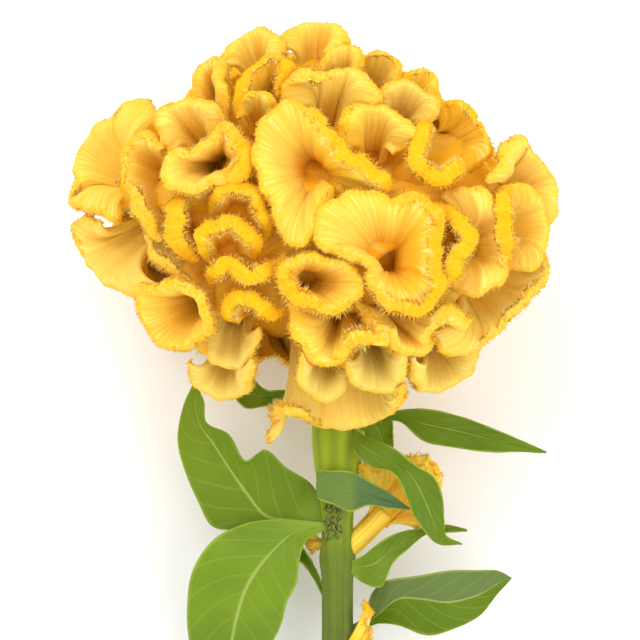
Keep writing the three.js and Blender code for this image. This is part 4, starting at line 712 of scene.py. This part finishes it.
def sheet_places(spot, share):
    """Places on a fold's middle sheet: it rises from the throat first and then flares to the rim."""
    reach = spot.rim - spot.throat
    rise = dot(reach, spot.axis)
    spread = reach - rise * spot.axis
    start = np.minimum(0.5, 3 / np.maximum(np.linalg.norm(spread, axis=1, keepdims=True), 3))
    flare = start + (1 - start) * share ** 1.5
    return spot.throat + spot.axis * rise * (1 - (1 - share) ** spot.rise) + spread * flare


def band_frame(spot):
    """The band's face and width directions, and its reach to either side."""
    below = sheet_places(spot, np.full((len(spot.rim), 1), 0.85))
    face = unit(spot.rim - below) + 0.9 * spot.out
    face = unit(face - spot.along * dot(face, spot.along))
    wide = unit(np.cross(spot.along, face))
    half = spot.width / 2 * mix(0.55, 1, spot.fade) * spot.taper
    bend = dot(spot.bend, wide)
    return face, wide, *(np.minimum(half, 0.8 / np.maximum(turn, 1e-6)) for turn in (-bend, bend))


def inner_side(spot, wide, sign):
    """How far a side of the band is the plain lip that faces the throat, from 0 to 1."""
    spread = spot.rim - spot.throat
    spread = spread - spot.axis * dot(spread, spot.axis)
    size = np.linalg.norm(spread, axis=1, keepdims=True)
    away = -dot(wide, spread / np.maximum(size, 5))
    return smooth_step(away * sign * 1.5) * (1 - spot.ribbon)


def crowned(swing, inside, reach):
    """The height of the band's crown at a swing from edge to edge, lower towards the throat."""
    arch = mix(1.7, 1.0, inside) * np.cos(BAND_SWING * swing) - mix(1.2, 0.6, inside)
    return arch * np.minimum(1, reach / 2)


def ripple(spot, wavelength, first):
    """Uneven waves along a rim that meet again at a closed rim's seam."""
    total = 0
    for number, (share_of, weight) in enumerate(((1.0, 0.5), (1.55, 0.3), (0.7, 0.35))):
        count = max(3, int(spot.length / (wavelength * share_of) + 0.5))
        total = total + weight * np.sin(spot.share * count * 2 * np.pi + spot.phases[first + number])
    return total[:, None]


def crest_values(depth, along, edge=0.0, ribbon=0.0, pale=0.0):
    """The values that the crest's finish reads from each vertex."""
    values = np.broadcast_arrays(depth, along, edge, ribbon, pale)
    return dict(zip(("depth", "along", "edge", "ribbon", "pale"), values))


def fold_sheet(fold, seed, spacing):
    """One fold as a closed skin: up the inner flank, over the crowned band and down the outer flank."""
    line = rim_of(fold, seed, spacing)
    columns = len(line.share) - 1
    rows = 2 * FLANK_ROWS + BAND_ROWS
    thick = fold["thickness"] / 2

    def skin(u, v):
        spot = at_stations(line, np.rint(u * columns).astype(int))
        row = np.rint(v * rows)[:, None]
        sign = np.where(row < rows / 2, -1.0, 1.0)
        share = 0.9 * np.clip(np.minimum(row, rows - row) / FLANK_ROWS, 0, 1) ** 0.85
        on_band = (row > FLANK_ROWS) & (row < rows - FLANK_ROWS)
        face, wide, inner, outer = band_frame(spot)
        low = sheet_places(spot, share)
        normal = unit(np.cross(spot.along, sheet_places(spot, share + 0.05) - low))
        inside = inner_side(spot, wide, sign)
        reach = np.where(sign < 0, inner, outer)
        lip = mix(1, np.minimum(1, 1.0 / np.maximum(reach, 0.1)), inside)
        reach = reach * lip * (1 + 0.12 * ripple(spot, 5.2, 7))
        widen = mix(smooth_step((share - 0.40) / 0.6) ** 1.3, smooth_step((share - 0.05) / 0.9), inside)
        tooth = 0.28 * ripple(spot, 1.3, 0) * (1 - inside)
        fine = ripple(spot, 1.4, 3)
        pleat = 0.17 * fine * smooth_step(share * 2.2) * (1 - 0.5 * smooth_step(share * 4 - 2.6))
        half = mix(thick * np.minimum(1, reach / thick), reach + 0.6 * tooth, widen) + 0.4 * pleat
        flank = low + unit(mix(normal, wide, widen)) * sign * half + normal * 0.25 * pleat
        swing = np.clip((row - FLANK_ROWS) / BAND_ROWS, 0, 1) * 2 - 1
        across = np.sin(BAND_SWING * swing)
        ridge = 0.09 * fine + 0.22 * ripple(spot, 6.4, 6)
        top = spot.rim + wide * across * (reach + tooth) + face * (crowned(swing, inside, reach) + ridge)
        depth = np.where(on_band, 1 + (1 - np.abs(across)), share)[:, 0]
        edge = np.where(on_band, np.abs(across) ** 4, smooth_step((share - 0.7) / 0.2)) * (1 - inside)
        # Depth paints shade, brown-orange towards the throat, which the fold's throat shade lift lightens.
        return clear_of_gaps(np.where(on_band, top, flank), line.rim.mean(0)), crest_values(
            np.maximum(depth, mix(fold["throat_shade_lift"], 1, depth)) / 2, spot.share * spot.length, edge[:, 0],
            spot.ribbon[:, 0], fold["pale"])

    return grown_sheet(columns, rows, skin)


def fringe_sheet(fold, seed, spacing, tufted=False):
    """A fold's bristles: rows on the edges of its band, a short pile over it, and a tuft in its throat."""
    line = rim_of(fold, seed, spacing)
    random = np.random.default_rng(seed)
    spot = at_stations(line, np.tile(np.arange(len(line.share) - 1), 3))
    each = (len(spot.rim), 1)
    face, wide, inner, outer = band_frame(spot)
    sets = []
    for sign, reach in ((-1, inner), (1, outer)):
        inside = inner_side(spot, wide, sign)
        drop = random.uniform(0.1, 1.6, each)
        shift = random.uniform(-0.5, 0.5, each) * spacing
        root = spot.rim + wide * sign * (reach - 0.25) - face * drop + spot.along * shift
        lean = wide * sign + face * random.uniform(-0.35, 0.35, each)
        lean = lean + spot.along * random.normal(0, 0.28, each)
        full = random.uniform(0, 1, each) < 1 - 0.5 * spot.ribbon
        long = random.uniform(0.8, 1.9, each) * np.clip(reach / 2.2, 0.3, 1) * full * (inside < 0.2)
        long = long * (1 + 0.6 * smooth_step((spot.throat - spot.rim)[:, 1:2] / 8))
        root = clear_of_gaps(root, line.rim.mean(0))
        sets.append((root, root + unit(lean) * long, 0.00022, (0.5, 1.0)))
    swing = random.uniform(-1, 1, each)
    side = np.where(swing < 0, inner, outer)
    inside = inner_side(spot, wide, np.sign(swing))
    root = spot.rim + wide * np.sin(BAND_SWING * swing) * side * 0.95
    root = clear_of_gaps(root + face * (crowned(swing, inside, side) - 0.3), line.rim.mean(0))
    lean = face * np.cos(swing) + wide * np.sin(swing) + random.normal(0, 0.35, (len(spot.rim), 3))
    long = random.uniform(0.5, 1.15, each) * (inside < 0.6)
    sets.append((root, root + unit(lean) * long, 0.0002, (0.45, 0.6)))
    if tufted:
        spot = at_stations(line, random.integers(0, len(line.share) - 1, 150))
        root = sheet_places(spot, random.uniform(0.02, 0.5, (150, 1)) ** 1.4)
        inward = spot.throat + line.axis * dot(root - spot.throat, line.axis) - root
        lean = unit(inward) * 0.8 + line.axis + random.normal(0, 0.35, (150, 3))
        sets.append((root, root + unit(lean) * random.uniform(1.2, 3.2, (150, 1)), 0.0002, (0.0, 0.8)))
    bm = bmesh.new()
    depth = bm.verts.layers.float.new("depth")
    for roots, tips, thickness, values in sets:
        for root, tip in zip(laid(roots), laid(tips)):
            if Vector(tip - root).length >= 0.0003:
                spike(bm, depth, root, tip, 3, thickness, values)
    return bm


def front_fold(plan):
    fold = {**USUAL_FOLD, **plan}
    rim = [(x, y, front_height(x, y) + fold["lift"]) for x, y in plan["rim"]]
    return dict(fold, rim=rim, throat=[rooted(place) for place in plan["throat"]])


def back_folds():
    """The fold that the head rests on, and the closed loops of the back, set on a spiral."""
    resting_y = -HEAD_LIFT * math.sin(LIE_ANGLE)
    rim = []
    for x, y in ((-25, -8), (-16, 1), (-8, 3), (0, 0), (8, -3), (16, -2), (25, 6)):
        level = np.hypot(x / HEAD_HALF[0], (y + resting_y) / HEAD_HALF[1])
        rim.append((x, y + resting_y, -HEAD_BACK_DEPTH * math.sqrt(1 - level ** 2)))
    common = dict(USUAL_FOLD, width=6, pale=0.35, throat_shade_lift=0.3, rise=2.4, wave=1.3, ribbon=0.8)
    folds = [dict(common, throat=[rooted((x, resting_y, -15)) for x in (-10, 10)], rim=rim)]
    draws = iter(seeded_draws(BACK_SEED, 2 * BACK_LOOPS))
    for number in range(BACK_LOOPS):
        z = -1 + (number + 0.9) * BACK_LOOPS_RISE / BACK_LOOPS
        turn = number * math.pi * (3 - math.sqrt(5))
        flat = math.sqrt(1 - z * z)
        middle = np.array([flat * math.cos(turn), flat * math.sin(turn), z])
        across = unit(np.cross((0, 0, 1), middle))
        up = np.cross(middle, across)
        phases = [next(draws) * 2 * math.pi, next(draws) * 2 * math.pi]
        shape = np.array([53, 43, HEAD_FRONT_DEPTH if z > 0 else HEAD_BACK_DEPTH])
        rim = []
        for corner in range(12):
            around = corner * math.pi / 6
            uneven = 1 + 0.2 * math.sin(2 * around + phases[0]) + 0.16 * math.sin(3 * around + phases[1])
            angle = 0.38 * uneven
            side = across * math.cos(around) + up * math.sin(around)
            rim.append((middle * math.cos(angle) + side * math.sin(angle)) * shape + (-2, 0, 0))
        folds.append(dict(common, throat=[rooted(middle * shape * 0.5)], rim=rim, closed=True, dip=0))
    return folds


def heart_skin(u, v):
    """The solid heart of the head that the folds grow from. It swells between their throats."""
    around, up = 2 * np.pi * u, np.pi * (v - 0.5)
    ball = np.column_stack([np.cos(around) * np.cos(up), np.sin(around) * np.cos(up), np.sin(up)])
    halves = np.array([*HEAD_HALF, HEAD_BACK_DEPTH])
    from_throat = np.full(len(u), 99.0)
    for _, fold in front + back:
        for throat in fold["throat"] if fold["ribbon"] < 1 else ():
            spot = unit(np.asarray(throat) / halves)
            from_throat = np.minimum(from_throat, 30 * np.linalg.norm(ball - spot, axis=1))
    for x, y, *_ in LOBE_GAPS:
        spot = unit(np.array([x, y, 0]) / halves)
        from_gap = np.maximum(30 * np.linalg.norm((ball - spot)[:, :2], axis=1) - 4, 0)
        from_throat = np.minimum(from_throat, from_gap)
    fullest = mix(CORE_SHARE, 0.78, smooth_step((ball[:, 2] - 0.05) / 0.5))
    swell = mix(CORE_SHARE, fullest, smooth_step((from_throat - 5) / 5)) * smooth_step(from_throat + 0.9)
    swell = swell + 0.012 * np.sin(23 * around) * np.cos(up)
    # The heart is painted with the throats' dark brown-orange shade, a little lighter away from them.
    shade = 0.12 * smooth_step((from_throat - 2.5) / 4)
    return ball * swell[:, None] * halves, crest_values(shade, 7 * around)


def neck_skin(u, v):
    """The neck that widens from the stem into the heart."""
    around = 2 * np.pi * u
    climb = np.clip((v - 0.04) / 0.92, 0, 1)
    closing = smooth_step(np.minimum(v, 1 - v) / 0.04)
    radius = mix(9, 19, climb) * closing * (1 + 0.03 * np.sin(8 * around))
    x, y, z = 5.2 + radius * np.cos(around), mix(-48, -22, climb), -3 + 0.8 * radius * np.sin(around)
    return np.column_stack([x, y, z]), crest_values(0.16 + 0.1 * climb, around * 12)


GOLD = (0.97, 0.485, 0.002)
DEEP_GOLD = (0.96, 0.38, 0.002)
CREAM = (0.99, 0.77, 0.23)
# The palest folds' green is partly their own colour and partly painted shade, darker than the cream.
PALE_GREEN_WITH_SHADE = (0.74, 0.62, 0.19)

velvet = Finish("crest_velvet", 0.8, 0.03, 0.2)
depth, along, pale, edge, ribbon = (velvet.value(key) for key in ("depth", "along", "pale", "edge", "ribbon"))
# The flank darkens from gold to brown-orange towards the throat: painted shade of the deep throats.
flank = velvet.steps(
    depth, (0.00, (0.60, 0.24, 0.010)), (0.05, (0.86, 0.43, 0.018)), (0.13, (0.96, 0.57, 0.032)),
    (0.26, (0.98, 0.65, 0.045)), (0.42, (0.98, 0.63, 0.030)), (0.55, (0.98, 0.56, 0.010)),
    (1.00, (0.97, 0.52, 0.005)))
golden = velvet.worked("ADD", velvet.times(ribbon, 0.6), 0.4)
streak_place = velvet.nodes.new("ShaderNodeCombineXYZ")
for socket, value, scale in (("X", along, 1.2), ("Y", depth, 2.6), ("Z", pale, 9.0)):
    velvet.put(streak_place.inputs[socket], velvet.times(value, scale))
streak = velvet.grain(1.0, 3, streak_place.outputs["Vector"])
pale_line = velvet.steps(streak, (0.47, 0), (0.66, 1))
clear = velvet.worked("SUBTRACT", 1.0, velvet.times(ribbon, 0.75))
streaked = velvet.times(velvet.steps(depth, (0.02, 0.2), (0.16, 1), (0.50, 0.9), (0.75, 0.55)), clear)
faded = velvet.steps(depth, (0.05, 0), (0.22, 0.9), (0.40, 0.8), (0.6, 0.45), (1.0, 0.3))
wash_tint = velvet.blended(velvet.steps(pale, (0.5, 0), (0.7, 1)), CREAM, PALE_GREEN_WITH_SHADE)
florets = velvet.grain(1500, 2)
velvet.coloured(velvet.painted(
    flank, (GOLD, velvet.steps(depth, (0.42, 0), (0.60, 1)), golden),
    (DEEP_GOLD, velvet.steps(velvet.grain(70, 3), (0.42, 0), (0.62, 1)), 0.5),
    ((0.82, 0.40, 0.018), velvet.steps(streak, (0.32, 1), (0.50, 0)), streaked, 0.45),
    (CREAM, pale_line, streaked, 0.60), (wash_tint, faded, clear, pale),
    ((1.0, 0.80, 0.30), edge, pale_line, 0.7), ((1.0, 0.72, 0.05), florets, 0.12)))
velvet.raised(velvet.worked("ADD", florets, velvet.times(streak, 1.6)), 0.0004, 0.45)

fringe_look = Finish("fringe_cream", 0.7, 0.03, 0.2)
fringe_look.coloured(fringe_look.steps(
    fringe_look.value("depth"), (0.0, (0.80, 0.46, 0.06)), (0.5, (1.0, 0.51, 0.007)),
    (0.7, (1.0, 0.63, 0.05)), (1.0, (1.0, 0.83, 0.40))))

all_folds = [front_fold(plan) for plan in FRONT_FOLDS.values()] + back_folds()
seeded = [(FOLD_SEED + FOLD_SEED_STEP * number, fold) for number, fold in enumerate(all_folds)]
front, back = seeded[:len(FRONT_FOLDS)], seeded[len(FRONT_FOLDS):]
for part, folds in (("crown", front[:13]), ("cheeks", front[13:25]), ("skirts", front[25:]), ("back", back)):
    sheet_step, fringe_step = (0.8, 1.1) if part == "back" else (0.38, 0.42)
    sheets = [fold_sheet(fold, seed, sheet_step) for seed, fold in folds]
    piece_of("crest_" + part, sheets, velvet, "crest", "flower_head")
    tufted = [part != "back" and (fold["closed"] or seed == FOLD_SEED) for seed, fold in folds]
    sheets = [fringe_sheet(fold, seed, fringe_step, tuft) for (seed, fold), tuft in zip(folds, tufted)]
    piece_of("fringe_" + part, sheets, fringe_look, "crest", "flower_head")
piece_of("crest_heart", [grown_sheet(144, 80, heart_skin), grown_sheet(48, 24, neck_skin)], velvet, "crest",
         "flower_head")


# Side crests: three small crests on short stalks beside the stem's nodes, one open fold each, of the same
# velvety florets as the head, with a fringe of the same pale bristles.
SIDE_CRESTS = {
    "side_crest_right": dict(throat=[(16, -82.5, -3)], stalk_radius=3,
        stalk=[(7, -91, -4), (12, -86.5, -4), (18, -80, -3)],
        rim=[(9.5, -68, -2), (14.5, -68.5, -1), (19, -67.5, -2), (23.5, -67.5, -4), (28, -66.5, -3),
         (32, -67.5, -3), (33, -72.5, -4), (30.5, -78.5, -4), (26.5, -85, -3)]),
    "side_crest_left": dict(throat=[(0.5, -89, -5)], stalk_radius=1.5,
        stalk=[(4, -89, -5), (2, -89, -5), (-0.5, -89, -5)],
        rim=[(-1, -85.5, -5), (-2.6, -87, -4.5), (-2.8, -89.5, -5), (-1.5, -92, -5)]),
    "side_crest_low": dict(throat=[(10.3, -117, 0)], stalk_radius=1.75,
        stalk=[(5.5, -122.6, -1.8), (8.2, -120.6, -1), (10.4, -114.8, 0.2)],
        rim=[(12.5, -104, 0), (14.4, -107, 1), (14, -110, 0), (14.4, -114, 0), (13.6, -118, 0),
         (12.4, -121.5, -0.6)]),
}
SIDE_CREST_SEED = 301


def stalk_skin(plan):
    """A short round stalk along the crest's own line, closed at both ends."""
    def shape(u, v):
        climb = np.clip((v - 0.05) / 0.9, 0, 1)
        shares = (np.clip(climb + step, 0, 1) for step in (-0.02, 0, 0.02))
        before, middle, after = (line_places(plan["stalk"], share) for share in shares)
        ahead = unit(after - before)
        side = unit(np.cross(ahead, (0, 0, 1)))
        around = (2 * np.pi * u)[:, None]
        radius = (plan["stalk_radius"] * smooth_step(np.minimum(v, 1 - v) / 0.05))[:, None]
        places = middle + (side * np.cos(around) + np.cross(side, ahead) * np.sin(around)) * radius
        return places, crest_values(0.18 + 0.14 * climb, 6 * np.pi * u)
    return shape


for seed, (name, plan) in enumerate(SIDE_CRESTS.items(), SIDE_CREST_SEED):
    fold = dict(USUAL_FOLD, **plan, dip=0, width=3.6, pale=0.2, throat_shade_lift=0.2, rise=1.5, ribbon=0.5,
                thickness=1.6, wave=0.7)
    sheets = [fold_sheet(fold, seed, 0.35), grown_sheet(24, 24, stalk_skin(plan))]
    piece_of(name + "_fold", sheets, velvet, "crest", name)
    piece_of(name + "_fringe", [fringe_sheet(fold, seed, 0.6)], fringe_look, "crest", name)


# Studio: a plain white floor that the flower lies on, soft light from all round with one large soft lamp
# from the upper left, and a camera that looks down on the flower as the picture does, across the stem.
look = Finish("floor_white", 0.9)
look.coloured(look.painted((0.99, 0.99, 0.99), ((0.97, 0.97, 0.97), look.grain(3, 2), 0.1)))
ground = bmesh.new()
bmesh.ops.create_grid(ground, x_segments=1, y_segments=1, size=4)
mesh = bpy.data.meshes.new("floor")
ground.to_mesh(mesh)
ground.free()
mesh.materials.append(look.material)
floor = bpy.data.objects.new("floor", mesh)
bpy.context.collection.objects.link(floor)

world = bpy.data.worlds.new("soft_room")
world.use_nodes = True
world.node_tree.nodes["Background"].inputs["Color"].default_value = (1, 1, 1, 1)
world.node_tree.nodes["Background"].inputs["Strength"].default_value = 1.0
bpy.context.scene.world = world
bpy.context.scene.view_settings.view_transform = "Standard"


def soft_lamp(name, place, aim, size, power):
    lamp = bpy.data.lights.new(name, "AREA")
    lamp.shape = "SQUARE"
    lamp.size = size
    lamp.energy = power
    thing = bpy.data.objects.new(name, lamp)
    thing.location = place
    thing.rotation_euler = (Vector(aim) - Vector(place)).to_track_quat("-Z", "Y").to_euler()
    bpy.context.collection.objects.link(thing)


soft_lamp("window_light", (-0.6, 0.6, 1.5), (0, 0, 0.05), 0.9, 9)
soft_lamp("fill_light", (0.8, -0.5, 1.4), (0, 0, 0.05), 1.0, 8)

VIEW_TARGET = Vector((0.00054, -0.02792, 0.0416))
VIEW_DISTANCE = 1.8
VIEW_WIDTH = 0.1728
camera_data = bpy.data.cameras.new("picture_camera")
camera_data.sensor_width = 36
camera_data.lens = 36 * VIEW_DISTANCE / VIEW_WIDTH
camera_data.clip_end = 20
camera = bpy.data.objects.new("picture_camera", camera_data)
back_away = Vector((0, -math.sin(LIE_ANGLE), math.cos(LIE_ANGLE)))
camera.location = VIEW_TARGET + back_away * VIEW_DISTANCE
camera.rotation_euler = back_away.to_track_quat("Z", "Y").to_euler()
bpy.context.collection.objects.link(camera)
bpy.context.scene.camera = camera
